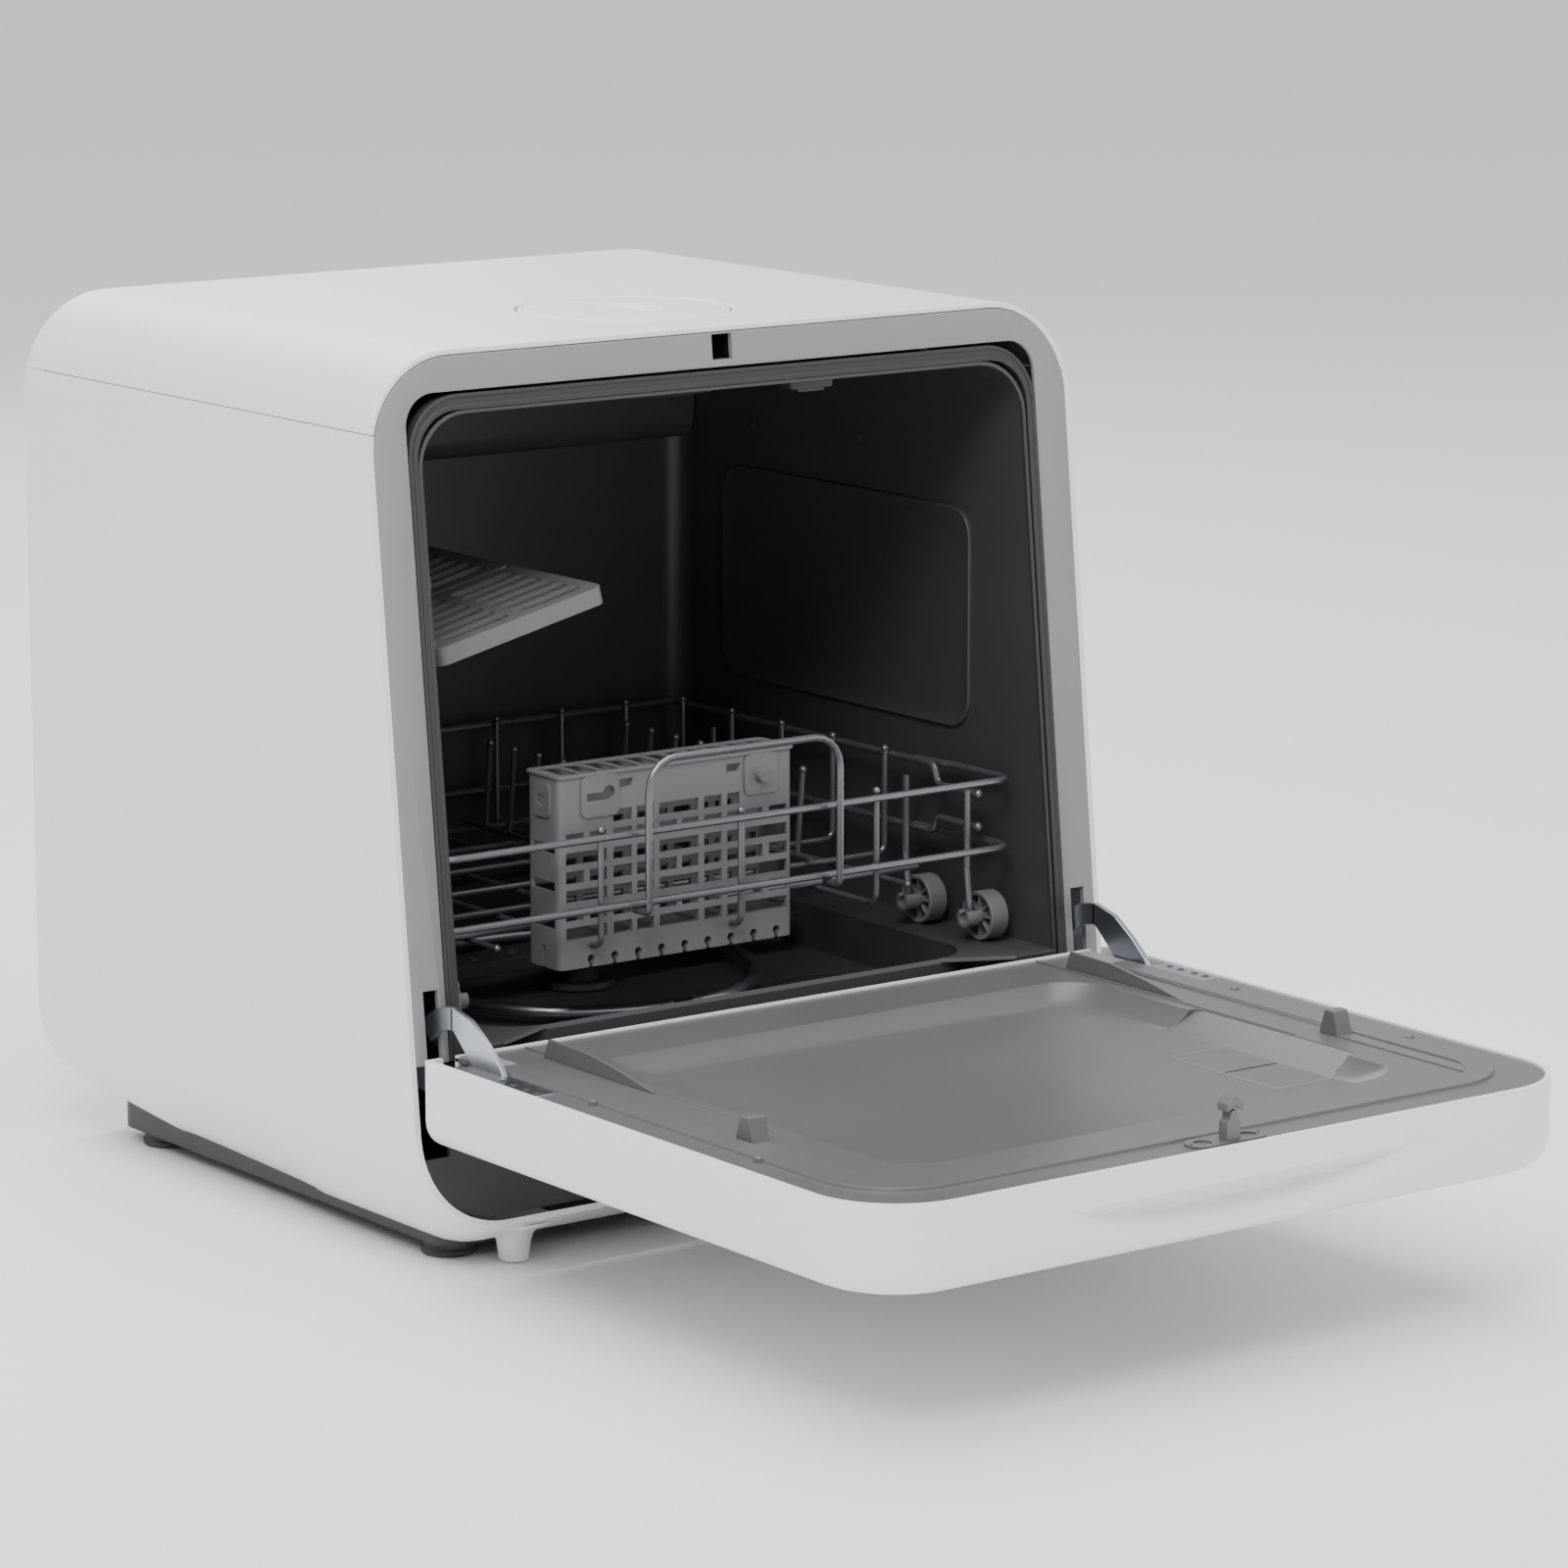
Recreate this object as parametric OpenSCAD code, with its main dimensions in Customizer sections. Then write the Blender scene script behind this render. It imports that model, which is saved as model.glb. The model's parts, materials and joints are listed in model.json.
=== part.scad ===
// Countertop dishwasher with a drop-down door and a pull-out wire rack.
// Millimetres. +X is right, -Y is the front, +Z is up, and z = 0 is the worktop.
// The rest pose has the door open and the rack pushed in.

/* [Cabinet] */
// Width over the side walls
cab_w = 420; // [410:1:440]
// Height of the cabinet without its feet
cab_h = 415; // [408:1:430]
// Distance from the front plane at door height to the rear edge
cab_d = 352; // [346:1:358]
// Outer radius of the four long corners
corner_r = 48; // [44:1:52]
// Wall of the side wrap and the top cover
skin_t = 3; // [2.5:0.1:3.2]
// Angle by which the front leans back
rake = 6; // [5:0.5:7]
// Height of the joint between the side wrap and the top cover, below the top
seam_drop = 37; // [34:1:40]
// Inset of the rear panel from the rear edge
rear_inset = 14; // [12:1:16]
// Thickness of the rear panel
rear_t = 2; // [1.5:0.5:2.5]
// Length by which the connectors stand out behind the rear panel
connector_out = 18; // [12:1:18]
// Radius of the threaded water inlet
inlet_r = 13.2; // [12:0.1:13.4]
// Radius of the drain spigot
drain_r = 9.5; // [8:0.5:10]

/* [Feet and base] */
// Height of the worktop gap under the cabinet
foot_h = 25; // [22:1:28]
// Distance of the front feet from the cabinet's sides
front_foot_inset = 67; // [60:1:75]
// Depth place of the front feet
front_foot_y = 14; // [10:1:16]
// Radius of a front foot at the floor
front_foot_r = 6; // [5:0.5:8]
// Radius of a front foot at the cabinet
front_foot_top_r = 11; // [10:0.5:12.5]
// Distance of the round pads from the cabinet's sides
pad_inset = 51; // [42:1:60]
// Depth place of the front pads
pad_front_y = 46; // [45:1:60]
// Distance of the rear pads from the rear edge
pad_rear_inset = 44; // [40:1:52]
// Radius of a pad
pad_r = 14; // [10:0.5:16]
// Depth of the dark pan under the cabinet
base_t = 19; // [14:0.5:20]
// Distance of the pan's sides from the cabinet's sides
pan_side = 38; // [30:1:42]

/* [Front frame] */
// Width of the frame's side bands
band_w = 22; // [21:0.5:22.5]
// Width of the frame's top band
top_band_w = 20; // [19:0.5:20.5]
// Thickness of the frame
frame_t = 3; // [2.5:0.5:3.5]
// Radius of the inner corners of the frame
frame_in_r = 14; // [12:1:18]
// Height of the frame's lower ends above the worktop
frame_low_z = 107; // [106:0.5:108]
// Width of the latch slot
latch_slot_w = 12; // [10:0.5:14]
// Height of the latch slot
latch_slot_h = 12.5; // [12:0.5:14]

/* [Tub] */
// Distance of the tub's inner side walls from the cabinet's sides
tub_side = 30; // [29:0.5:31]
// Distance of the tub's ceiling below the cabinet's top
tub_drop = 31; // [29:1:36]
// Height of the rails that the rack rolls on
rail_z = 112; // [111.5:0.25:112.5]
// Depth of the washing basin under the rails
basin_drop = 24; // [22:1:25]
// Distance of the basin's sides from the tub's side walls
basin_side = 34; // [32:1:36]
// Wall of the tub
tub_t = 2; // [1.5:0.25:2.5]
// Distance of the tub's inner rear wall from the rear edge
tub_rear = 27; // [26:0.5:30]
// Inner radius of the tub's long corners
tub_r = 26; // [20:1:30]

/* [Door] */
// Depth place of the open door's far edge, in front of the front plane
door_reach = 358; // [356:0.5:359]
// Height of the open door's rim
door_rim_z = 113; // [112.5:0.25:113.5]
// Thickness of the door
door_t = 43; // [40:1:45]
// Distance of the door's sides inside the cabinet's sides
door_side = 1; // [0:0.5:3]
// Wall of the door's outer shell
door_wall = 2.5; // [2:0.25:3]
// Plan radius of the door's far corners
door_corner_r = 45; // [40:1:50]
// Radius of the edges round the door's outer face
door_edge_r = 14; // [10:1:16]
// Radius under the door's hinge end
door_end_r = 26; // [22:1:28]
// Depth of the hinge axis below the door's rim
axis_drop = 13; // [12.5:0.25:13.5]
// Length of the door behind the hinge axis
door_end = 4; // [3.5:0.25:4]
// Height of the sealing ridge on the liner
ridge_h = 1.4; // [1:0.1:1.5]
// Distance of the sealing ridge inside the tub's side walls
ridge_inset = 2; // [1.5:0.5:3]
// Width of the sealing ridge
ridge_w = 14; // [12:0.5:14]
// Depth of the hollow in the liner
dish_drop = 9; // [7:0.5:11]
// Width of the finger scoop
scoop_w = 192; // [170:2:200]
// Height of the finger scoop
scoop_h = 15; // [12:0.5:17]
// Depth of the finger scoop
scoop_d = 15; // [10:0.5:16]

/* [Hinges] */
// Radius of a hinge pin
pin_r = 3; // [2.5:0.25:3.5]
// Distance of the middle of a hinge arm from the cabinet's side
arm_inset = 15.5; // [15:0.25:16]
// Thickness of a hinge arm
arm_t = 3; // [2.5:0.25:3.25]
// Inner radius of the curved arm about the hinge axis
arm_in_r = 26; // [25:0.5:27]
// Outer radius of the curved arm about the hinge axis
arm_out_r = 37; // [35:0.5:38]
// Sideways gap between an arm and its fixed lug
lug_gap = 0.5; // [0.3:0.1:0.8]
// Thickness of a fixed lug
lug_t = 3; // [2.5:0.25:3.25]

/* [Rack] */
// Radius of the heavy rack wires
wire_r = 1.9; // [1.8:0.05:2]
// Radius of the floor wires
thin_r = 1.6; // [1.4:0.05:1.7]
// How much wider the ball tip of a wire is than the wire
tip_extra = 0.5; // [0.2:0.1:0.5]
// Distance of the free floor wires from the front hoops
tail_gap = 32; // [28:1:36]
// Depth place of the pushed-in rack's front wires
rack_front_y = 28; // [27:0.5:29]
// Distance of the rack's rear wires from the tub's rear wall
rack_rear_gap = 12; // [11:0.5:15]
// Distance of the rack's side wires from the tub's side walls
rack_inset = 14; // [13:0.5:15]
// Distance of the front hoops from the tub's side walls
hoop_inset = 7; // [6.5:0.25:7.5]
// Height of the upper wires
upper_z = 197; // [194:1:200]
// Height of the lower wires
lower_z = 162; // [160:0.5:164]
// Height of the floor wires
floor_z = 142; // [141:0.5:143]
// Half width of the handle
handle_half_w = 58; // [50:1:64]
// Height of the handle's top
handle_z = 234; // [226:1:238]
// Radius of a rack wheel
wheel_r = 12.7; // [12.4:0.1:12.8]
// Width of a rack wheel's tread
tread_w = 11; // [9:0.5:11.5]
// Distance of the wheels' outer faces from the tub's side walls
wheel_inset = 7.3; // [7:0.1:7.5]
// Distance of the first wheel behind the rack's front
wheel_first = 13; // [12:0.5:14]
// Distance between the two front wheels of a side
wheel_gap = 51; // [46:1:53]
// Distance of the rear wheels in front of the rack's rear
wheel_rear = 51; // [46:1:56]
// Travel of the rack onto the door
rack_travel = 240; // [220:1:242]

/* [Cup shelves] */
// Height of the shelf wires' top rail
shelf_rail_z = 333; // [330:1:336]
// Height of the wire that the shelves swing on
shelf_pivot_z = 301; // [298:1:303]
// Distance between the posts
post_pitch = 81; // [79:0.5:81.5]
// Distance of the first post behind the rack's front
post_first = 60; // [58:0.5:62]
// Width of one shelf
shelf_w = 78; // [74:0.5:79]
// Reach of a shelf from its wire
shelf_len = 100; // [94:1:103]
// Thickness of a shelf
shelf_t = 9; // [7:0.5:10]
// Angle by which a shelf rises from its wire at rest
shelf_tilt = 13; // [11:1:15]

/* [Cutlery basket] */
// Width of the basket
basket_w = 141; // [132:1:142]
// Depth of the basket
basket_d = 28; // [26:1:34]
// Height of the basket
basket_h = 96; // [90:1:100]
// Height of the basket's underside above the worktop
basket_z = 131; // [130:0.5:132]
// Left side of the basket
basket_x = -97; // [-100:1:-90]
// Wall of the basket
basket_t = 2; // [1.6:0.1:2.4]

/* [Washing system] */
// Gap between the tips of the spray arm and the sides of the basin
spray_gap = 8; // [6:1:26]
// Depth place of the spray arm's shaft
spray_y = 166; // [164:1:168]
// Radius of the sump's mouth
sump_r = 38; // [34:1:39]
// Radius of the heating ring
heater_r = 92; // [80:1:93]
// Radius of the water lid in the top cover
lid_r = 53; // [48:1:56]
// Depth place of the water lid
lid_y = 122; // [116:1:128]

/* [Controls] */
// Radius of a push button
button_r = 7; // [5:0.5:8]
// Travel of a push button
button_travel = 1.5; // [1:0.1:1.6]

/* [Clearances] */
// Gap between fixed pieces that only face each other
face_gap = 0.3; // [0.2:0.05:0.4]
// Running gap round pins and shafts
run_gap = 0.05; // [0.03:0.01:0.08]
// Gap between pieces that move past each other
move_gap = 1; // [0.6:0.1:1.4]

/* [Hidden] */
$fn = 64;
white = [0.95, 0.95, 0.95];
light_grey = [0.8, 0.8, 0.8];
frame_grey = [0.66, 0.66, 0.67];
liner_grey = [0.56, 0.56, 0.57];
dark_grey = [0.27, 0.28, 0.28];
tub_grey = [0.2, 0.2, 0.21];
black = [0.1, 0.1, 0.11];
steel = [0.62, 0.65, 0.7];
wire_grey = [0.5, 0.5, 0.53];

// Sizes that follow from the ones above
far = 900;
over = 1;
lead = 60;
cab_top_z = foot_h + cab_h;
seam_z = cab_top_z - seam_drop;
half_w = cab_w / 2;
in_w = half_w - skin_t - face_gap;
in_low_z = foot_h + skin_t + face_gap;
in_top_z = cab_top_z - skin_t - face_gap;
frame_in_x = half_w - band_w;
frame_in_z = cab_top_z - top_band_w;
front_foot_x = half_w - front_foot_inset;
pad_x = half_w - pad_inset;
pad_rear_y = cab_d - pad_rear_inset;
tub_half_w = half_w - tub_side;
tub_top_z = cab_top_z - tub_drop;
tub_back_y = cab_d - tub_rear;
tub_out_x = tub_half_w + tub_t;
tub_out_z = tub_top_z + tub_t;
tub_rear_y = tub_back_y + tub_t;
basin_z = rail_z - basin_drop;
basin_half_w = tub_half_w - basin_side;
spray_r = basin_half_w - spray_gap;
basin_y = [20, tub_back_y - 15];
rear_y = cab_d - rear_inset;
connector_y = rear_y - 24;
connector_len = 24 + rear_t + connector_out;
connector_z = foot_h + 41;
inlet_x = -half_w + 80;
drain_x = -half_w + 126;
cord_x = half_w - 80;
door_half_w = half_w - door_side;
arm_x = half_w - arm_inset;
axis_z = door_rim_z - axis_drop;
axis_y = -(axis_drop * (1 + sin(rake)) + move_gap) / cos(rake);
hinge_end_y = axis_y + door_end;
door_low_z = door_rim_z - door_t;
door_floor_z = door_low_z + door_wall + over;
liner_z = door_rim_z - over;
liner_t = 2;
liner_half_w = door_half_w - door_wall - face_gap;
liner_far_y = -door_reach + door_wall + face_gap;
ridge_in_x = tub_half_w - ridge_inset;
ridge_y = [-door_reach + 36, -43];
dish_half_w = tub_half_w - 32;
dish_y = [-door_reach + 58, -56];
notch_x = [arm_x - arm_t / 2 - move_gap, arm_x + arm_t / 2 + lug_gap + lug_t + move_gap];
flange_y = [-98, -58];
screw_x = arm_x + 6.5;
screw_y = [flange_y[0] + 10, flange_y[1] - 12];
cup_x = [dish_half_w - 48, dish_half_w - 4];
cup_y = [-door_reach + 96, -door_reach + 176];
panel_x = [-60, 60];
panel_y = [-door_reach + 24, -door_reach + 48];
button_x = [-20, 20];
button_y = (panel_y[0] + panel_y[1]) / 2;
latch_x = -4;
hook_y = [-door_reach + 5, -door_reach + 13];
slot_z = [cab_top_z - 16.5, cab_top_z - 16.5 + latch_slot_h];
weld = 0.3;
rack_half_w = tub_half_w - rack_inset;
hoop_half_w = tub_half_w - hoop_inset;
wheel_out_x = tub_half_w - wheel_inset;
rack_rear_y = tub_back_y - rack_rear_gap;
in_x = rack_half_w - wire_r - thin_r + weld;
cross_z = floor_z + 2 * thin_r - weld;
post_y = [for (i = [0:2]) rack_front_y + post_first + i * post_pitch];
basket_y = rack_front_y + 12;
wheel_y = [rack_front_y + wheel_first, rack_front_y + wheel_first + wheel_gap,
           rack_rear_y - wheel_rear];
wheel_z = rail_z + face_gap + wheel_r;
hoop_pitch = (rack_rear_y - rack_front_y - 105) / 4;
hoop_y = [for (i = [0:4]) rack_front_y + 92 + i * hoop_pitch];
long_pitch = (2 * rack_half_w - 80) / 6;
long_x = [for (i = [0:6]) -rack_half_w + 45.5 + i * long_pitch];
tine_x = [long_x[3] + 18.5, long_x[5] + 22.5];
tine_y = [rack_front_y + 100, hoop_y[4] - 14.5];
end_y = [rack_front_y + 8, rack_rear_y - 8];
sump_x = basin_half_w - sump_r - 16;
sump_y = 66;
spout_x = -half_w + 20;
tank_y = [80, tub_back_y - 5];
tank_z = [150, cab_top_z - 55];
board_x = tub_out_x + 5;
hub_top_z = basin_z + 16;
pump_z = 56;

// Places in the leaning front: y is square to it, z runs up along it from the door rim
module raked() { translate([0, 0, door_rim_z]) rotate([-rake, 0, 0]) children(); }

// The layer that lies between a and b behind the leaning front
module layer(a, b) { raked() translate([-far / 2, a, -far / 2]) cube([far, b - a, far]); }

module above(z) { translate([-far / 2, -far / 2, z]) cube(far); }
module below(z) { translate([-far / 2, -far / 2, z - far]) cube(far); }

// A box between two corners
module block(x, y, z) { translate([x[0], y[0], z[0]]) cube([x[1] - x[0], y[1] - y[0], z[1] - z[0]]); }

// Rectangle with true round corners, from x0 to x1 and from z0 to z1
module round_rect(x0, x1, z0, z1, r) {
    translate([x0 + r, z0]) square([x1 - x0 - 2 * r, z1 - z0]);
    translate([x0, z0 + r]) square([x1 - x0, z1 - z0 - 2 * r]);
    for (x = [x0 + r, x1 - r], z = [z0 + r, z1 - r]) translate([x, z]) circle(r);
}

// A flat shape in X and Z drawn out along Y from y0 to y1
module along_y(y0, y1) { translate([0, y1, 0]) rotate([90, 0, 0]) linear_extrude(y1 - y0) children(); }

// A flat shape in Y and Z drawn out along X from x0 to x1
module along_x(x0, x1) { translate([x0, 0, 0]) rotate([90, 0, 90]) linear_extrude(x1 - x0) children(); }

// A flat shape in X and Y drawn out along Z from z0 to z1
module along_z(z0, z1) { translate([0, 0, z0]) linear_extrude(z1 - z0) children(); }

// A span drawn in at both ends by the gap of fixed pieces
function shrunk(span) = [span[0] + face_gap, span[1] - face_gap];

module disc(x, y, z0, z1, r) { translate([x, y, z0]) cylinder(h = z1 - z0, r = r); }

module both_sides() { children(); mirror([1, 0, 0]) children(); }

// Cabinet outline, drawn in by an inset
module cab_outline(inset = 0) {
    round_rect(-half_w + inset, half_w - inset, foot_h + inset, cab_top_z - inset, corner_r - inset);
}

// Opening of the frame, drawn in by an inset
module frame_opening(inset = 0) {
    round_rect(-frame_in_x + inset, frame_in_x - inset, -lead, frame_in_z - inset, frame_in_r);
}

// Tub outline, drawn in by an inset: large radii above, small ones at the rails
module tub_outline(inset = 0) {
    round_rect(-tub_out_x + inset, tub_out_x - inset, rail_z - tub_t + inset, tub_out_z - inset,
               tub_r + tub_t - inset);
    round_rect(-tub_out_x + inset, tub_out_x - inset, rail_z - tub_t + inset, rail_z + tub_r * 3,
               4);
}

module rod(a, b, r) {
    v = b - a;
    translate(a) rotate([0, acos(v.z / norm(v)), atan2(v.y, v.x)])
        cylinder(h = norm(v), r = r, $fn = 20);
}

function unit(v) = v / norm(v);
function axial(v) = max(abs(v.x), abs(v.y), abs(v.z)) > 0.9999 * norm(v);
function square_turn(p, i) = axial(p[i] - p[i - 1]) && axial(p[i + 1] - p[i]);
function cut_back(p, i, bend) =
    (i == 0 || i == len(p) - 1) ? 0 : square_turn(p, i) ? bend : 0;

// The round quarter bend at corner b of a wire that comes from a and goes to c
module elbow(a, b, c, r, bend) {
    d = unit(b - a);
    n = unit(c - b);
    z = cross(-n, d);
    o = b - d * bend + n * bend;
    multmatrix([[-n.x, d.x, z.x, o.x], [-n.y, d.y, z.y, o.y], [-n.z, d.z, z.z, o.z], [0, 0, 0, 1]])
        rotate_extrude(angle = 90, $fn = 32) translate([bend, 0]) circle(r, $fn = 20);
}

// A bent wire through the points p: square turns are round bends, slight ones are balls
module wire(p, r, bend = 6) {
    for (i = [0:len(p) - 2]) {
        d = unit(p[i + 1] - p[i]);
        rod(p[i] + d * cut_back(p, i, bend), p[i + 1] - d * cut_back(p, i + 1, bend), r);
    }
    for (i = [1:1:len(p) - 2])
        if (square_turn(p, i)) elbow(p[i - 1], p[i], p[i + 1], r, bend);
        else ball(p[i], r + weld);
}

module ball(p, r) { translate(p) sphere(r, $fn = 20); }

// White wrap: both side walls and the floor of the cabinet in one bent sheet
module side_wrap() {
    color(white) difference() {
        along_y(-lead, cab_d) cab_outline();
        along_y(-lead - over, cab_d + over) cab_outline(skin_t);
        layer(-far, 0);
        above(seam_z);
        // Hand grips under both sides
        both_sides() block([half_w - 28, half_w - 14], [110, 232], [foot_h - over, foot_h + 9]);
    }
}

// White top cover with the hole for the water lid
module top_cover() {
    color(white) difference() {
        along_y(-lead, cab_d) cab_outline();
        along_y(-lead - over, cab_d + over) cab_outline(skin_t);
        layer(-far, 0);
        below(seam_z + face_gap);
        disc(0, lid_y, cab_top_z - skin_t - over, cab_top_z + over, lid_r + move_gap / 2);
    }
}

// Grey frame round the opening, with the latch slot and the slots of the hinge arms
module front_frame() {
    color(frame_grey) difference() {
        intersection() {
            along_y(-lead, lead * 2) cab_outline(skin_t + face_gap);
            layer(0, frame_t);
        }
        along_y(-lead - over, lead * 2 + over) frame_opening();
        below(frame_low_z);
        block([latch_x - latch_slot_w / 2, latch_x + latch_slot_w / 2], [-lead, lead * 2], slot_z);
        both_sides() block(notch_x, [-lead, lead], [axis_z + 16, axis_z + arm_out_r]);
    }
}

// Rear panel with the vents and the holes of the connectors
module rear_panel() {
    color(dark_grey) difference() {
        along_y(rear_y, rear_y + rear_t) cab_outline(skin_t + face_gap);
        for (x = [-60:12:60]) block([x - 3, x + 3], [rear_y - over, rear_y + rear_t + over], [150, 210]);
        for (c = [[inlet_x, inlet_r + 0.8], [drain_x, drain_r + 1], [cord_x, 8.5]])
            translate([c[0], rear_y - over, connector_z]) rotate([-90, 0, 0])
                cylinder(h = rear_t + 2 * over, r = c[1]);
    }
}

// Dark plate under the cabinet
module base_plate() {
    color(dark_grey) difference() {
        along_z(foot_h - base_t, foot_h) round_rect(-half_w + pan_side, half_w - pan_side, 30, rear_y, 12);
        for (y = [90:44:310]) along_z(foot_h - base_t - over, foot_h + over)
            round_rect(-80, 80, y, y + 10, 4);
    }
}

// Dark panel set back under the door, cut away where the hinge arms swing
module kick_panel() {
    color(dark_grey) difference() {
        intersection() {
            along_y(-lead, lead) cab_outline(skin_t + face_gap);
            layer(8, 10.5);
        }
        above(frame_low_z - 3);
        both_sides() block([arm_x - 8, half_w], [-lead, lead], [60, far]);
        for (z = [44:8:84]) block([-120, 120], [-lead, lead], [z, z + 2.5]);
    }
}

// Cone feet under the front edge
module front_feet() {
    color(light_grey) both_sides() translate([front_foot_x, front_foot_y, 0])
        cylinder(h = foot_h, r1 = front_foot_r, r2 = front_foot_top_r);
}

// Round pads under the base plate
module pad_feet() {
    color(black) both_sides() for (y = [pad_front_y, pad_rear_y]) {
        disc(pad_x, y, 0, 4, pad_r);
        disc(pad_x, y, 4, foot_h - base_t, pad_r - 3);
    }
}

// Washing tub: one pressed shell with two rails and a basin between them
module tub_shell() {
    color(tub_grey) difference() {
        union() {
            along_y(-lead, tub_rear_y) tub_outline();
            block([-basin_half_w - tub_t, basin_half_w + tub_t], [basin_y[0] - tub_t, basin_y[1] + tub_t],
                  [basin_z - tub_t, rail_z]);
        }
        along_y(-lead - over, tub_back_y) tub_outline(tub_t);
        along_z(basin_z, rail_z + over) round_rect(-basin_half_w, basin_half_w, basin_y[0], basin_y[1], 30);
        layer(-far, 1);
        disc(sump_x, sump_y, basin_z - far, basin_z + over, sump_r - 4);
        disc(0, spray_y, basin_z - far, basin_z + over, 9);
        heater_legs() cylinder(h = far, r = 5, center = true);
    }
}

// Dark seal between the frame and the tub
module tub_gasket() {
    color(black) difference() {
        intersection() {
            along_y(-lead, lead * 2) frame_opening(face_gap);
            layer(0.6, 12);
        }
        along_y(-lead - over, lead * 2 + over) round_rect(-tub_out_x - face_gap, tub_out_x + face_gap,
            -lead, tub_out_z + face_gap, tub_r + tub_t + face_gap);
        below(frame_low_z);
    }
}

// Sump cup under the basin, with its outlet
module sump() {
    color(dark_grey) difference() {
        union() {
            disc(sump_x, sump_y, basin_z - 32, basin_z - tub_t, sump_r);
            disc(sump_x, sump_y, basin_z - 48, basin_z - 32 + over, 20);
        }
        disc(sump_x, sump_y, basin_z - 30, basin_z, sump_r - 3);
        disc(sump_x, sump_y, basin_z - 46, basin_z, 17);
    }
}

// Round filter that turns out of the sump
module sump_filter() {
    color(steel) difference() {
        union() {
            disc(sump_x, sump_y, basin_z - 26, basin_z - 1, sump_r - 6);
            disc(sump_x, sump_y, basin_z + 0.5, basin_z + 3, sump_r - 1);
            disc(sump_x, sump_y, basin_z - 2, basin_z + 1, sump_r - 6);
            // Grip bar
            block([sump_x - 14, sump_x + 14], [sump_y - 3, sump_y + 3], [basin_z + 2, basin_z + 10]);
        }
        disc(sump_x, sump_y, basin_z - 27, basin_z - 3, sump_r - 8);
        for (a = [0:20:340]) translate([sump_x, sump_y, 0]) rotate(a)
            block([sump_r - 12, sump_r - 3], [-1.5, 1.5], [basin_z - 22, basin_z - 6]);
    }
}

// Puts a child at both legs of the heating ring
module heater_legs() {
    for (a = [-95, -85]) translate([0, spray_y, 0]) rotate(a) translate([heater_r, 0, 0]) children();
}

// Heating element: an open ring in the basin, with two legs through its floor
module heater_ring() {
    z = basin_z + 7;
    color(steel) {
        translate([0, spray_y, 0]) rotate(-85) rotate_extrude(angle = 350, $fn = 96)
            translate([heater_r, z]) circle(3.5, $fn = 24);
        heater_legs() {
            translate([0, 0, basin_z - 16]) cylinder(h = 23, r = 3.5);
            ball([0, 0, z], 4);
        }
    }
}

// Circulation pump lying in the base
module wash_pump() {
    color(black) {
        translate([-120, 110, pump_z]) rotate([0, 90, 0]) cylinder(h = 78, r = 24);
        translate([-42, 110, pump_z]) rotate([0, 90, 0]) cylinder(h = 26, r = 26);
        wire([[-29, 110, pump_z], [-29, spray_y, pump_z], [0, spray_y, pump_z], [0, spray_y, basin_z - 14]],
             8, 12);
        block([-110, -52], [90, 130], [in_low_z, pump_z - 20]);
    }
}

// Small pump that empties the sump
module drain_pump() {
    color(black) {
        translate([60, 200, pump_z - 6]) rotate([0, 90, 0]) cylinder(h = 46, r = 18);
        wire([[68, 200, pump_z - 6], [40, 200, pump_z - 6], [40, rear_y - 68, pump_z - 6],
              [drain_x, rear_y - 68, pump_z - 6], [drain_x, rear_y - 38, pump_z - 6]], 6, 14);
        block([66, 100], [186, 214], [in_low_z, pump_z - 20]);
    }
}

// Flat water tank beside the tub
module water_tank() {
    color(light_grey) difference() {
        block([-in_w, -tub_out_x - 1.5], tank_y, tank_z);
        block([-in_w + 2, -tub_out_x - 3.5], [tank_y[0] + 2, tank_y[1] - 2], [tank_z[0] + 2, tank_z[1] - 2]);
        disc(spout_x, lid_y, tank_z[1] - 5, tank_z[1] + 5, 5);
    }
}

// Dish under the water lid, with a spout to the tank
module fill_funnel() {
    color(dark_grey) {
        difference() {
            disc(0, lid_y, tub_out_z + 1, in_top_z, lid_r + 4);
            disc(0, lid_y, tub_out_z + 3, in_top_z + over, lid_r + 2);
        }
        wire([[-lid_r - 3, lid_y, tub_out_z + 9], [spout_x, lid_y, tub_out_z + 9],
              [spout_x, lid_y, tank_z[1] - 1]], 4.4, 14);
    }
}

// Threaded water inlet at the rear
module inlet_connector() {
    color(light_grey) translate([inlet_x, 0, connector_z]) rotate([-90, 0, 0]) {
        translate([0, 0, connector_y]) cylinder(h = connector_len, r = inlet_r);
        translate([0, 0, rear_y + rear_t]) cylinder(h = 2, r = 17);
        translate([0, 0, rear_y - 4]) cylinder(h = 4, r = 17);
    }
}

// Drain spigot at the rear
module drain_connector() {
    color(dark_grey) translate([drain_x, 0, connector_z]) rotate([-90, 0, 0]) {
        translate([0, 0, connector_y]) cylinder(h = connector_len, r = drain_r);
        translate([0, 0, rear_y + rear_t]) cylinder(h = 2, r = 13);
        translate([0, 0, rear_y - 4]) cylinder(h = 4, r = 13);
    }
}

// Grommet for the mains lead
module cord_gland() {
    color(black) translate([cord_x, 0, connector_z]) rotate([-90, 0, 0]) difference() {
        union() {
            translate([0, 0, rear_y - 5]) cylinder(h = 15, r = 8);
            translate([0, 0, rear_y + rear_t]) cylinder(h = 2, r = 11);
            translate([0, 0, rear_y - 4]) cylinder(h = 4, r = 11);
        }
        translate([0, 0, rear_y - 6]) cylinder(h = 17, r = 4);
    }
}

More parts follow.
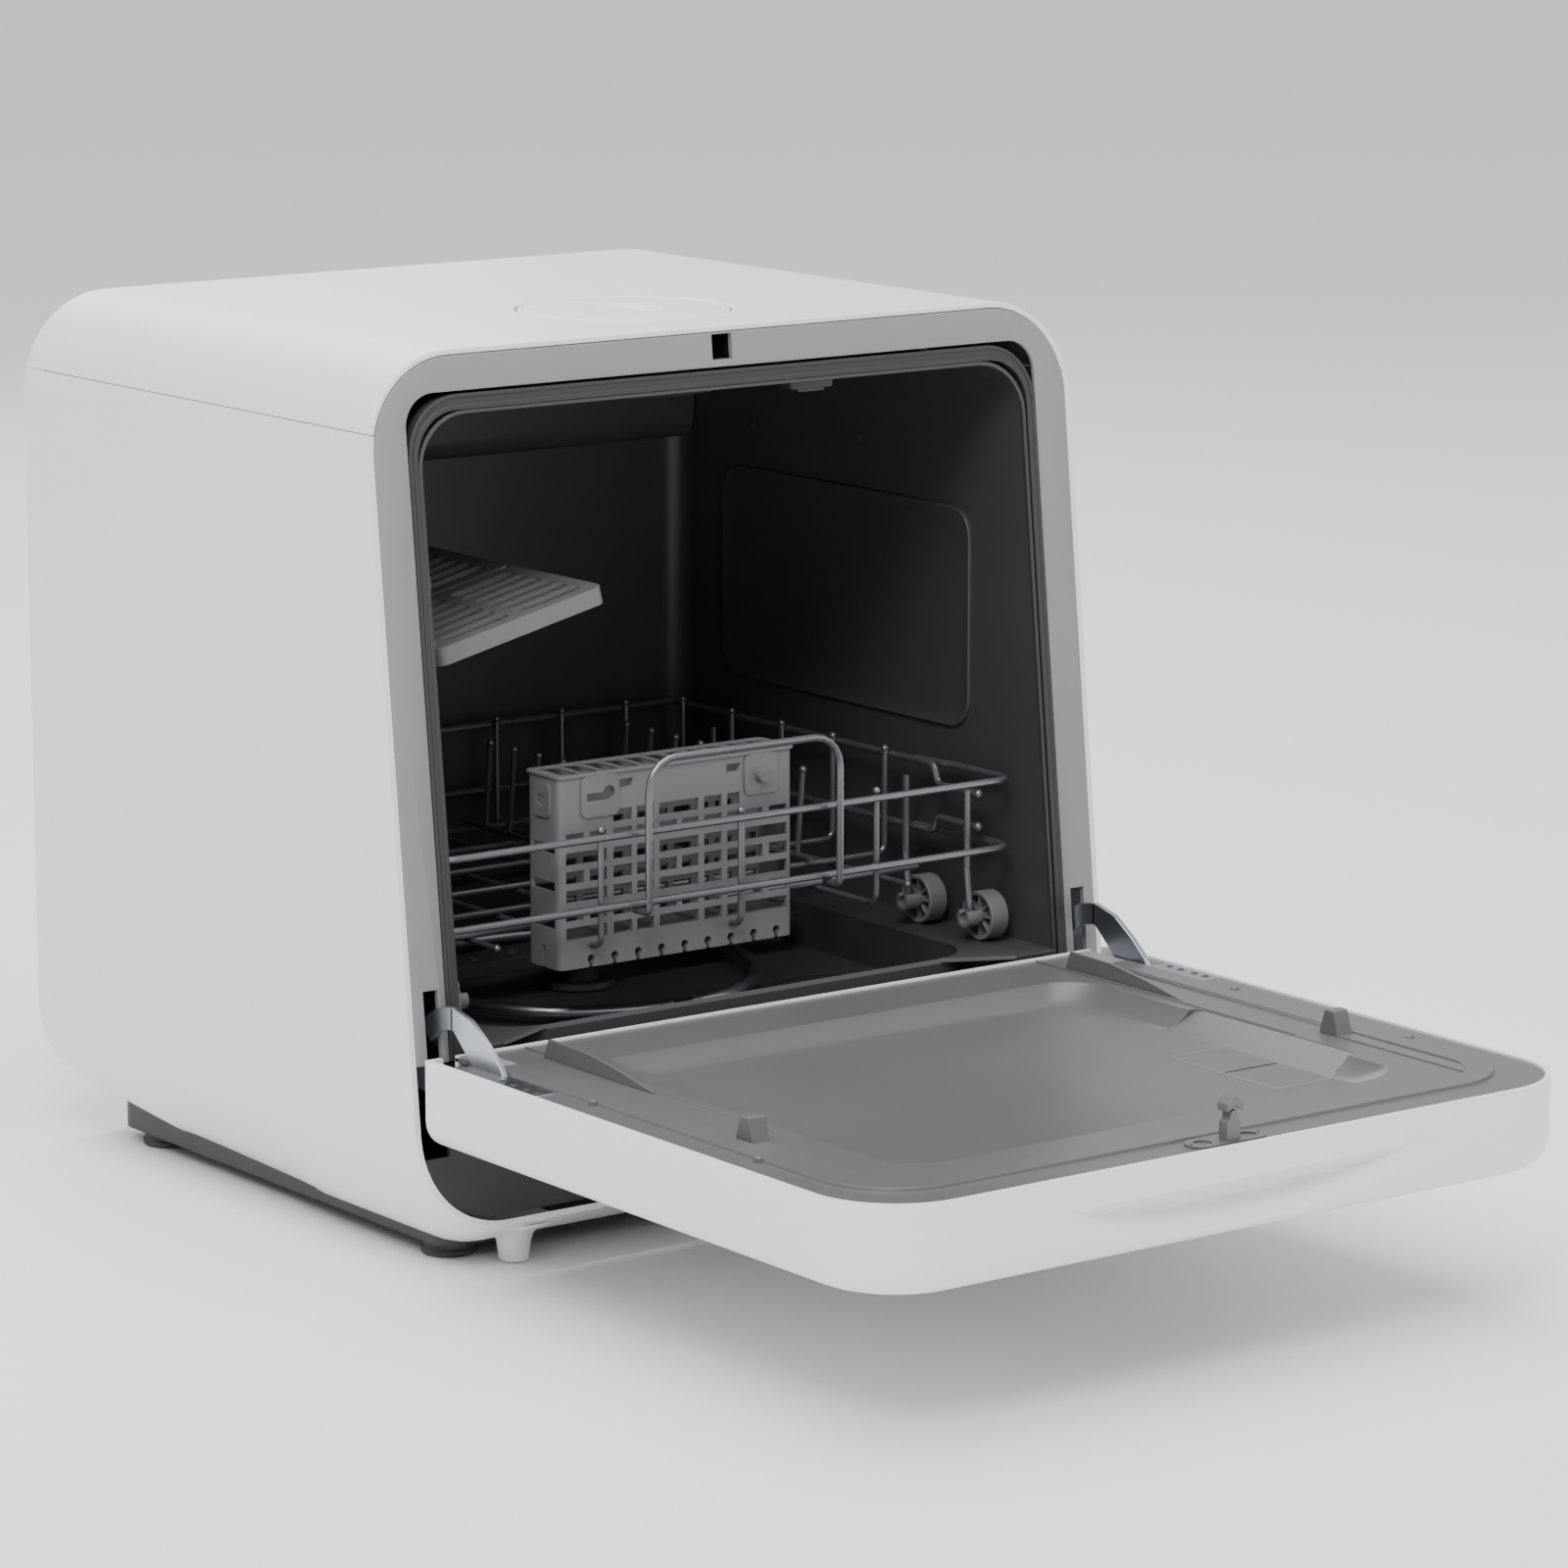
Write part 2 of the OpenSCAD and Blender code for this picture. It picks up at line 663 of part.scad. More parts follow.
// Circuit board on the right side of the tub
module control_board() {
    color([0.1, 0.35, 0.2]) {
        block([board_x, board_x + 2], [100, 250], [180, 330]);
        for (c = [[120, 210], [170, 250], [215, 300], [140, 300]])
            block([board_x + 2, board_x + 12], [c[0], c[0] + 22], [c[1] - 12, c[1] + 12]);
        for (y = [106, 244], z = [186, 324])
            translate([tub_out_x, y, z]) rotate([0, 90, 0]) cylinder(h = 5, r = 3);
    }
}

// Bearing post of the spray arm
module spray_hub() {
    color(dark_grey) {
        disc(0, spray_y, basin_z - 12, basin_z, 8);
        disc(0, spray_y, basin_z, basin_z + 4, 20);
        disc(0, spray_y, basin_z + 4, hub_top_z - 2, 10);
        disc(0, spray_y, hub_top_z - 2, hub_top_z + 13, 5);
    }
}

// Catch behind the slot in the frame
module latch_receiver() {
    color(black) difference() {
        intersection() {
            block([latch_x - 14, latch_x + 14], [0, 90], [frame_in_z + 0.5, in_top_z - 0.4]);
            layer(frame_t, 26);
        }
        intersection() {
            block([latch_x - 6, latch_x + 6], [0, 90], slot_z);
            layer(frame_t - over, 22);
        }
    }
}

// Fixed hinge part on the right: a lug with the pin, and a plate on the side wall
module hinge_bracket() {
    x = arm_x + arm_t / 2 + lug_gap;
    color(steel) {
        along_x(x, x + lug_t) {
            translate([axis_y, axis_z]) circle(6);
            translate([axis_y, axis_z - 6]) square([50 - axis_y, 12]);
            translate([30, 75]) square([24, 65]);
        }
        translate([arm_x - arm_t / 2 - 0.5, axis_y, axis_z]) rotate([0, 90, 0])
            cylinder(h = arm_t + lug_gap + 1, r = pin_r);
        block([x, in_w], [50, 54], [75, 140]);
        block([in_w - 3, in_w], [50, 84], [75, 140]);
    }
}
module hinge_bracket_right() { hinge_bracket(); }
module hinge_bracket_left() { mirror([1, 0, 0]) hinge_bracket(); }

// Screws of the rear panel
module case_screws() {
    color(steel) both_sides() for (z = [120, 240, 360])
        translate([half_w - 16, rear_y + rear_t, z]) rotate([-90, 0, 0]) {
            cylinder(h = 2, r = 3.6);
            translate([0, 0, -0.2]) cylinder(h = 0.4, r = 3);
        }
}

// Solid form of the open door, drawn in by an inset
module door_form(inset = 0) {
    w = door_half_w - inset;
    y0 = -door_reach + inset;
    y1 = hinge_end_y - inset;
    z0 = door_low_z + inset;
    e = door_edge_r - inset;
    n = door_end_r - inset;
    c = door_corner_r - inset;
    intersection() {
        along_z(z0, door_rim_z) {
            translate([-w, y0 + c]) square([2 * w, y1 - y0 - c]);
            translate([-w + c, y0]) square([2 * w - 2 * c, c + over]);
            for (x = [-w + c, w - c]) translate([x, y0 + c]) circle(c);
        }
        along_x(-w - over, w + over) {
            translate([y0 + e, z0]) square([y1 - n - y0 - e, door_rim_z - z0]);
            translate([y0, z0 + e]) square([e + over, door_rim_z - z0 - e]);
            translate([y1 - n - over, z0 + n]) square([n + over, door_rim_z - z0 - n]);
            translate([y0 + e, z0 + e]) circle(e);
            translate([y1 - n, z0 + n]) circle(n);
        }
        along_y(y0 - over, y1 + over) {
            translate([-w + e, z0]) square([2 * w - 2 * e, door_rim_z - z0]);
            translate([-w, z0 + e]) square([2 * w, door_rim_z - z0 - e]);
            for (x = [-w + e, w - e]) translate([x, z0 + e]) circle(e);
        }
    }
}

// Finger scoop in the far edge, grown by a margin
module scoop(grow = 0) {
    r = (scoop_w * scoop_w / 4 + scoop_d * scoop_d) / (2 * scoop_d);
    z1 = door_rim_z - 15.5;
    disc(-3, -door_reach + scoop_d - r, z1 - scoop_h - grow, z1 + grow, r + grow);
}

// Outer shell of the door: a deep tray with the finger scoop
module door_shell() {
    color(white) difference() {
        union() {
            difference() { door_form(); translate([0, 0, over]) door_form(door_wall); door_mouth(); }
            intersection() { door_form(); scoop(door_wall); }
            for (y = screw_y, s = [-1, 1])
                disc(s * screw_x, y, door_floor_z - over, liner_z - liner_t, 4);
        }
        scoop();
        block(panel_x, panel_y, [door_low_z - over, door_floor_z + over]);
        both_sides() block([notch_x[0], notch_x[1]], [hinge_end_y - 12, hinge_end_y + over],
                           [axis_z - 8, door_rim_z + over]);
    }
}

// Space above the inner form, so that the tray is open at the top
module door_mouth() { translate([0, 0, door_t / 2]) door_form(door_wall); }

// Inner face of the door: wheel tracks, a hollow between them and a sealing ridge
module door_liner() {
    c = door_corner_r - door_wall - face_gap;
    y1 = hinge_end_y - door_wall - face_gap;
    color(liner_grey) difference() {
        union() {
            along_z(liner_z - liner_t, liner_z) liner_plan(liner_half_w, liner_far_y, y1, c);
            along_z(rail_z - dish_drop - liner_t, liner_z)
                round_rect(-dish_half_w - liner_t, dish_half_w + liner_t, dish_y[0] - liner_t,
                           dish_y[1] + liner_t, 24);
            // Ridge on three sides
            difference() {
                along_z(liner_z - liner_t, liner_z + ridge_h)
                    liner_plan(ridge_in_x + ridge_w, ridge_y[0] - ridge_w, ridge_y[1] - over, 40);
                along_z(liner_z, liner_z + 2 * ridge_h) liner_plan(ridge_in_x, ridge_y[0], ridge_y[1], 28);
            }
        }
        along_z(rail_z - dish_drop, liner_z + over)
            round_rect(-dish_half_w, dish_half_w, dish_y[0], dish_y[1], 22);
        both_sides() block([notch_x[0], liner_half_w + over], [flange_y[0] - 1, y1 + over],
                           [liner_z - liner_t - over, far]);
        block([cup_x[0], cup_x[1]], [cup_y[0], cup_y[1]], [0, far]);
    }
}

// Plan of the liner or the ridge, round at the far corners
module liner_plan(w, y0, y1, c) {
    translate([-w, y0 + c]) square([2 * w, y1 - y0 - c]);
    translate([-w + c, y0]) square([2 * w - 2 * c, c + over]);
    for (x = [-w + c, w - c]) translate([x, y0 + c]) circle(c);
}

// Control strip in the door's outer face
module control_panel() {
    color(dark_grey) difference() {
        union() {
            block(shrunk(panel_x), shrunk(panel_y), [door_low_z + 0.4, door_floor_z]);
            block([panel_x[0] - 5, panel_x[1] + 5], [panel_y[0] - 3, panel_y[1] + 4],
                  [door_floor_z, door_floor_z + 2]);
        }
        for (x = button_x) disc(x, button_y, door_low_z - over, door_floor_z + 3, button_r + 0.4);
    }
}

// A push button that stands out of the control strip
module button(x) {
    disc(x, button_y, door_low_z - button_travel - 0.5, door_floor_z + 2.4, button_r);
    disc(x, button_y, door_floor_z + 2.4, door_floor_z + 4.4, button_r + 2);
}
module power_button() { color(light_grey) button(button_x[0]); }
module program_button() { color(light_grey) button(button_x[1]); }

// Hook on the door that goes into the slot of the frame
module latch_hook() {
    color(dark_grey) {
        block([latch_x - 3, latch_x + 3], [hook_y[0] + 1, hook_y[1] - 1], [liner_z, door_rim_z + 14]);
        block([latch_x - 3, latch_x + 3], [hook_y[0] - 1, hook_y[1] - 1], [door_rim_z + 10, door_rim_z + 14]);
    }
}

// Thin plate round the foot of the hook
module latch_plate() {
    color(dark_grey) difference() {
        along_z(liner_z, liner_z + 1.2) {
            translate([latch_x - 16, hook_y[0] + 2]) square([32, 11]);
            for (x = [latch_x - 16, latch_x + 16]) translate([x, hook_y[0] + 7.5]) circle(5.5);
        }
        block([latch_x - 3, latch_x + 3], [hook_y[0] - 1, hook_y[1] - 1], [0, far]);
        for (x = [latch_x - 15, latch_x + 15]) disc(x, hook_y[0] + 7.5, liner_z + 0.6, far, 2.5);
    }
}

// Blocks that stop the front wheels at the end of the door
module wheel_stops() {
    y = wheel_y[0] - rack_travel - wheel_r - 2.3;
    color(liner_grey) both_sides() along_x(wheel_out_x - 4.7, wheel_out_x + 4.8)
        polygon([[y - 12, liner_z], [y, liner_z], [y - 2, liner_z + 12], [y - 9, liner_z + 12]]);
}

// Low fins that guide the rack onto the door
module track_guides() {
    x = wheel_out_x - tread_w - 2.2;
    color(liner_grey) both_sides() along_z(liner_z, liner_z + 6)
        polygon([[x - 9, -40], [x - 7, -40], [x, -116], [x - 2, -116]]);
}

// Curved hinge arm on the right, with its plate and flange in the door
module hinge_arm() {
    x = arm_x - arm_t / 2;
    color(steel) {
        difference() {
            union() {
                along_x(x, x + arm_t) {
                    translate([axis_y, axis_z]) circle(7);
                    translate([-100, axis_z - 4]) square([100 + axis_y, liner_z - liner_t - axis_z + 4]);
                    translate([flange_y[0], axis_z]) square([flange_y[1] - flange_y[0], liner_z - axis_z]);
                }
                along_x(x, x + arm_t) translate([axis_y, axis_z]) arm_arc();
                block([x, liner_half_w - 0.5], flange_y, [liner_z - liner_t, liner_z]);
            }
            translate([x - over, axis_y, axis_z]) rotate([0, 90, 0])
                cylinder(h = arm_t + 2 * over, r = pin_r + run_gap);
            for (y = screw_y) disc(screw_x, y, 0, far, 1.8);
        }
    }
}

// Curved stretch of the arm, about the hinge axis, from the plate into the cabinet
module arm_arc() {
    start = 42;
    difference() {
        circle(arm_out_r);
        circle(arm_in_r);
        polygon([[0, 0], [far * cos(start), far * sin(start)], [far, -far], [-far, -far], [-far, 2],
                 [0, 2]]);
    }
}
module hinge_arm_right() { hinge_arm(); }
module hinge_arm_left() { mirror([1, 0, 0]) hinge_arm(); }

// Screws that hold the hinge arms to the door
module hinge_screws() {
    color(steel) both_sides() for (y = screw_y) {
        disc(screw_x, y, liner_z, liner_z + 1.4, 3.4);
        disc(screw_x, y, liner_z - liner_t - 8, liner_z + 0.5, 1.7);
    }
}

// Tablet cup set into the hollow of the liner
module detergent_cup() {
    z = rail_z - dish_drop;
    color(dark_grey) difference() {
        block(shrunk(cup_x), shrunk(cup_y), [z - 12, z + 3]);
        block([cup_x[0] + 3, cup_x[1] - 3], [cup_y[0] + 3, cup_y[1] - 3], [z - 10, z + 4]);
    }
}

// Round lid of the water filler
module fill_lid() {
    color(light_grey) difference() {
        union() {
            disc(0, lid_y, in_top_z + face_gap, cab_top_z, lid_r);
            disc(0, lid_y, in_top_z - 8, cab_top_z - over, lid_r - 4);
        }
        disc(0, lid_y, in_top_z - 9, in_top_z, lid_r - 6);
        // Finger recess across the lid
        difference() {
            disc(0, lid_y, cab_top_z - 2, cab_top_z + over, 18);
            block([-3, 3], [lid_y - 20, lid_y + 20], [cab_top_z - 3, cab_top_z]);
        }
    }
}

// Two-ended spray arm
module spray_arm() {
    color(light_grey) difference() {
        union() {
            along_z(hub_top_z, hub_top_z + 8) {
                translate([-spray_r + 14, spray_y - 14]) square([2 * spray_r - 28, 28]);
                for (s = [-1, 1]) translate([s * (spray_r - 14), spray_y]) circle(14);
            }
            disc(0, spray_y, hub_top_z, hub_top_z + 12, 24);
        }
        disc(0, spray_y, hub_top_z - over, hub_top_z + 13, 5 + run_gap);
        for (x = [40:24:112], s = [-1, 1]) disc(s * x, spray_y + s * 5, hub_top_z + 5, hub_top_z + 9, 2);
    }
}

// Floor of the rack: long wires with cross wires welded on top
module rack_floor() {
    color(wire_grey) {
        for (i = [0:6]) {
            start_y = i % 2 == 1 ? end_y[0] : rack_front_y + tail_gap;
            rod([long_x[i], start_y, floor_z], [long_x[i], end_y[1], floor_z], thin_r);
            if (i % 2 == 0) ball([long_x[i], start_y, floor_z], thin_r + tip_extra);
        }
        for (y = concat([rack_front_y + 54], hoop_y))
            rod([-in_x + 8, y, cross_z], [in_x - 8, y, cross_z], thin_r);
    }
}

// Front of the rack: two hoops, three uprights and the handle
module rack_front() {
    hy = rack_front_y - 8;
    color(wire_grey) {
        for (z = [upper_z, lower_z])
            wire([[-rack_half_w - 2 * wire_r + weld, rack_front_y + 74, z],
                  [-rack_half_w - 2 * wire_r + weld, rack_front_y + 62, z],
                  [-hoop_half_w, rack_front_y + 46, z], [-hoop_half_w, rack_front_y, z],
                  [hoop_half_w, rack_front_y, z], [hoop_half_w, rack_front_y + 46, z],
                  [rack_half_w + 2 * wire_r - weld, rack_front_y + 62, z],
                  [rack_half_w + 2 * wire_r - weld, rack_front_y + 74, z]], wire_r, 9);
        for (x = [long_x[1], long_x[3], long_x[5]]) {
            y = rack_front_y + wire_r + thin_r - weld;
            wire([[x, y, upper_z + 3], [x, y, floor_z], [x, end_y[0], floor_z]], thin_r, 4);
            ball([x, y, upper_z + 3], thin_r + tip_extra);
        }
        wire([[-handle_half_w, rack_front_y + 4, lower_z - 2 * wire_r + weld],
              [-handle_half_w, hy, lower_z - 2 * wire_r + weld], [-handle_half_w, hy, handle_z],
              [handle_half_w, hy, handle_z], [handle_half_w, hy, lower_z - 2 * wire_r + weld],
              [handle_half_w, rack_front_y + 4, lower_z - 2 * wire_r + weld]], wire_r, 7);
    }
}

// Right side of the rack: two rails, uprights, and legs that end as the wheel axles
module rack_side() {
    color(wire_grey) {
        for (w = [[upper_z, upper_z - 10], [lower_z, lower_z + 8]])
            wire([[rack_half_w, rack_rear_y, w[0]], [rack_half_w, rack_front_y + 55, w[0]],
                  [rack_half_w, rack_front_y + 55, w[1]], [rack_half_w, rack_front_y + 18, w[1]]],
                 wire_r, 3.6);
        for (z = [upper_z - 10, lower_z + 8]) ball([rack_half_w, rack_front_y + 18, z], wire_r + 0.6);
        for (y = hoop_y)
            wire([[in_x, y, upper_z + 3], [in_x, y, cross_z], [in_x - 8, y, cross_z]], thin_r, 5);
        for (y = wheel_y) {
            x = rack_half_w - 2 * wire_r + weld;
            wire([[x, y + 9, upper_z - 8], [x, y + 9, floor_z + 6], [wheel_out_x - 16, y, wheel_z + 7],
                  [wheel_out_x - 16, y, wheel_z], [wheel_out_x - 0.4, y, wheel_z]], wire_r, 3.4);
        }
    }
}
module rack_right() { rack_side(); }
module rack_left() { mirror([1, 0, 0]) rack_side(); }

// Rear of the rack: two rails and the uprights of the long wires
module rack_rear() {
    color(wire_grey) {
        for (z = [upper_z, lower_z])
            rod([-rack_half_w - wire_r, rack_rear_y, z], [rack_half_w + wire_r, rack_rear_y, z], wire_r);
        for (x = long_x) {
            y = rack_rear_y - wire_r - thin_r + weld;
            wire([[x, y, upper_z + 3], [x, y, floor_z], [x, end_y[1], floor_z]], thin_r, 2.5);
        }
    }
}

// Wire frame that carries the cup shelves on the left
module shelf_frame() {
    mid = (post_y[0] + post_y[2]) / 2;
    reach = post_pitch * 3 / 2 - 5;
    color(wire_grey) {
        wire([[-in_x, mid, shelf_pivot_z], [-in_x, mid - reach, shelf_pivot_z],
              [-in_x, mid - reach, shelf_rail_z], [-in_x, mid + reach, shelf_rail_z],
              [-in_x, mid + reach, shelf_pivot_z], [-in_x, mid, shelf_pivot_z]], thin_r, 7);
        for (y = post_y) rod([-in_x, y, lower_z], [-in_x, y, shelf_rail_z], thin_r);
    }
}

// Two combs that hold plates upright
module plate_tines() {
    z = cross_z + 2 * thin_r - weld;
    pitch = (tine_y[1] - tine_y[0]) / 7;
    color(wire_grey) for (x = tine_x) {
        rod([x, rack_front_y + 88, z], [x, hoop_y[4] + 6, z], thin_r);
        for (i = [0:7]) {
            y = tine_y[0] + i * pitch;
            rod([x, y, z], [x, y - 5, z + 46], thin_r);
            ball([x, y - 5, z + 46], thin_r);
        }
    }
}

// A cup shelf that swings up about the wire of its frame
module cup_shelf(y) {
    color(frame_grey) translate([-in_x, y, shelf_pivot_z]) rotate([0, -shelf_tilt, 0]) difference() {
        union() {
            // Tray
            block([1.5, shelf_len], [-shelf_w / 2, shelf_w / 2], [-7 - shelf_t, -7]);
            for (s = [-1, 1]) translate([0, s * 23 - 4, 0]) {
                rotate([-90, 0, 0]) cylinder(h = 8, r = 4.6);
                block([1.6, 8], [0, 8], [-8, 2]);
            }
        }
        block([4, shelf_len - 2], [-shelf_w / 2 + 2, shelf_w / 2 - 2], [-8 - shelf_t, -9]);
        for (x = [14:12:88]) block([x, x + 6], [-shelf_w / 2 + 8, shelf_w / 2 - 8], [-10, -6]);
        for (s = [-1, 1]) translate([0, s * 23 - 5, 0]) {
            rotate([-90, 0, 0]) cylinder(h = 10, r = thin_r + run_gap);
            // Mouth of the clip
            block([-8, 0], [-over, 12], [0, 8]);
        }
    }
}
module cup_shelf_front() { cup_shelf(post_y[0]); }
module cup_shelf_middle() { cup_shelf(post_y[1]); }
module cup_shelf_rear() { cup_shelf(post_y[2]); }

// A spoked wheel on its wire axle, on the right
module rack_wheel(i) {
    color(frame_grey) translate([wheel_out_x - tread_w, wheel_y[i], wheel_z]) rotate([0, 90, 0])
        difference() {
            union() {
                difference() {
                    cylinder(h = tread_w, r = wheel_r);
                    translate([0, 0, -over]) cylinder(h = tread_w / 2, r = wheel_r - 2.4);
                    translate([0, 0, tread_w / 2 + 1.5]) cylinder(h = tread_w, r = wheel_r - 2.4);
                }
                cylinder(h = tread_w, r = 4.2);
            }
            translate([0, 0, -over]) cylinder(h = tread_w + 2 * over, r = wire_r + run_gap);
        }
}
module wheel_front_right() { rack_wheel(0); }
module wheel_front_left() { mirror([1, 0, 0]) rack_wheel(0); }
module wheel_second_right() { rack_wheel(1); }
module wheel_second_left() { mirror([1, 0, 0]) rack_wheel(1); }
module wheel_rear_right() { rack_wheel(2); }
module wheel_rear_left() { mirror([1, 0, 0]) rack_wheel(2); }

// Tall cutlery basket with an open top and lattice walls
module cutlery_basket() {
    x1 = basket_x + basket_w;
    y1 = basket_y + basket_d;
    z1 = basket_z + basket_h;
    cell_x = (basket_w - 12) / 6;
    cell_z = (basket_h - 30) / 7;
    color(frame_grey) difference() {
        along_z(basket_z, z1) round_rect(basket_x, x1, basket_y, y1, 4);
        along_z(basket_z + 16, z1 + over)
            round_rect(basket_x + basket_t, x1 - basket_t, basket_y + basket_t, y1 - basket_t, 2);
        // Lattice of the front and rear walls
        for (i = [0:5], k = [0:6])
            translate([basket_x + 8 + i * cell_x, basket_y - over, basket_z + 20 + k * cell_z])
                cube([cell_x - 4, basket_d + 2 * over, cell_z - 3]);
        // Notches that let the floor wires pass
        for (x = long_x)
            block([x - 3, x + 3], [basket_y - over, y1 + over],
                  [basket_z - over, floor_z + thin_r + 1]);
    }
}

side_wrap();
top_cover();
front_frame();
rear_panel();
base_plate();
kick_panel();
front_feet();
pad_feet();
tub_shell();
tub_gasket();
sump();
sump_filter();
heater_ring();
wash_pump();
drain_pump();
water_tank();
fill_funnel();
inlet_connector();
drain_connector();
cord_gland();
control_board();
spray_hub();
latch_receiver();
hinge_bracket_left();
hinge_bracket_right();
case_screws();
door_shell();
door_liner();
control_panel();
latch_hook();
latch_plate();
wheel_stops();
track_guides();
hinge_arm_left();
hinge_arm_right();
hinge_screws();
detergent_cup();
power_button();
program_button();
fill_lid();
spray_arm();
rack_floor();
rack_front();
rack_left();
rack_right();
rack_rear();
shelf_frame();
plate_tines();
cup_shelf_front();
cup_shelf_middle();
cup_shelf_rear();
wheel_front_left();
wheel_front_right();
wheel_second_left();
wheel_second_right();
wheel_rear_left();
wheel_rear_right();
cutlery_basket();
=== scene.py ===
"""Looks of a countertop dishwasher: open door, wire rack on wheels, white cabinet."""

import json
import logging
import math
from dataclasses import dataclass, field
from enum import Enum
from typing import Callable, Iterable, Sequence

import bmesh
import bpy
from mathutils import Matrix, Vector

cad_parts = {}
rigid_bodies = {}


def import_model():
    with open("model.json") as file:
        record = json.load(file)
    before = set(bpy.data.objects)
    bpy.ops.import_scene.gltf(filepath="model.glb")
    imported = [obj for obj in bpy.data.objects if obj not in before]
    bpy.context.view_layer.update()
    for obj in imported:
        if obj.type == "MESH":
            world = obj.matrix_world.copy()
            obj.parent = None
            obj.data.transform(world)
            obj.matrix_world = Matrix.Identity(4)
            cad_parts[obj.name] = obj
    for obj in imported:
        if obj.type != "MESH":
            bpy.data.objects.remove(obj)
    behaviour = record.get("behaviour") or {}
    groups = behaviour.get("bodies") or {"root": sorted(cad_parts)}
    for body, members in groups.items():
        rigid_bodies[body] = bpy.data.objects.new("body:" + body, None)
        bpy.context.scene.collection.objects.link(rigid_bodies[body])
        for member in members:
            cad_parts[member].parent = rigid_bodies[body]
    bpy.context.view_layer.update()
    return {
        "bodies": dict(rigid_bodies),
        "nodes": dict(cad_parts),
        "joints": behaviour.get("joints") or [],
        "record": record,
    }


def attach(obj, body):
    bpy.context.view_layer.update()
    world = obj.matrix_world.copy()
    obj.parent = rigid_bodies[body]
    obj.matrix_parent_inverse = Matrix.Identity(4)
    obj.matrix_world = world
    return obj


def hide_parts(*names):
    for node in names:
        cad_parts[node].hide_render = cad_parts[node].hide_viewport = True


LOG = logging.getLogger("dishwasher")
MM = 0.001
RAKE = math.radians(6.0)
RIM_Z = 0.113

Point = tuple[float, float, float]
FRAME: dict = {}


class Axis(Enum):
    """Main directions of the dishwasher's frame."""

    X = (1.0, 0.0, 0.0)
    Y = (0.0, 1.0, 0.0)
    Z = (0.0, 0.0, 1.0)


class Tip(Enum):
    """How the cut end of a rack wire is closed."""

    FLAT = "flat"
    BALL = "ball"


# ---------------------------------------------------------------- finishes


def grain_group() -> bpy.types.NodeTree:
    """Builds the shared grain effect once.

    Returns:
        A node group that turns Object coordinates into a fine height and a soft mottle.
    """
    name = "MouldGrain"
    if name in bpy.data.node_groups:
        return bpy.data.node_groups[name]
    tree = bpy.data.node_groups.new(name, "ShaderNodeTree")
    face = tree.interface
    for label, value in (("Fine", 900.0), ("Broad", 9.0), ("Stretch", 1.0)):
        face.new_socket(name=label, in_out="INPUT", socket_type="NodeSocketFloat").default_value = value
    face.new_socket(name="Height", in_out="OUTPUT", socket_type="NodeSocketFloat")
    face.new_socket(name="Mottle", in_out="OUTPUT", socket_type="NodeSocketFloat")
    n, link = tree.nodes, tree.links.new
    given, out = n.new("NodeGroupInput"), n.new("NodeGroupOutput")
    coords = n.new("ShaderNodeTexCoord")
    squeeze = n.new("ShaderNodeCombineXYZ")
    squeeze.inputs[1].default_value = squeeze.inputs[2].default_value = 1.0
    link(given.outputs["Stretch"], squeeze.inputs[0])
    scaled = n.new("ShaderNodeVectorMath")
    scaled.operation = "MULTIPLY"
    link(coords.outputs["Object"], scaled.inputs[0])
    link(squeeze.outputs[0], scaled.inputs[1])
    for label, target, detail in (("Fine", "Height", 2.0), ("Broad", "Mottle", 4.0)):
        noise = n.new("ShaderNodeTexNoise")
        noise.inputs["Detail"].default_value = detail
        link(scaled.outputs[0], noise.inputs["Vector"])
        link(given.outputs[label], noise.inputs["Scale"])
        link(noise.outputs[0], out.inputs[target])
    return tree


def edge_highlight_group() -> bpy.types.NodeTree:
    """Builds the shared mask for the painted highlight on convex edges once.

    Returns:
        A node group whose Mask is high on convex edges, where a highlight is painted into the base colour, and low in
        creases.
    """
    name = "RubbedEdge"
    if name in bpy.data.node_groups:
        return bpy.data.node_groups[name]
    tree = bpy.data.node_groups.new(name, "ShaderNodeTree")
    face = tree.interface
    face.new_socket(name="Low", in_out="INPUT", socket_type="NodeSocketFloat").default_value = 0.5
    face.new_socket(name="High", in_out="INPUT", socket_type="NodeSocketFloat").default_value = 0.6
    face.new_socket(name="Mask", in_out="OUTPUT", socket_type="NodeSocketFloat")
    n, link = tree.nodes, tree.links.new
    given, out = n.new("NodeGroupInput"), n.new("NodeGroupOutput")
    # Painted highlight: pointiness picks out the convex edges that get a lighter colour.
    geometry, ramp = n.new("ShaderNodeNewGeometry"), n.new("ShaderNodeMapRange")
    link(geometry.outputs["Pointiness"], ramp.inputs["Value"])
    link(given.outputs["Low"], ramp.inputs["From Min"])
    link(given.outputs["High"], ramp.inputs["From Max"])
    link(ramp.outputs[0], out.inputs["Mask"])
    return tree


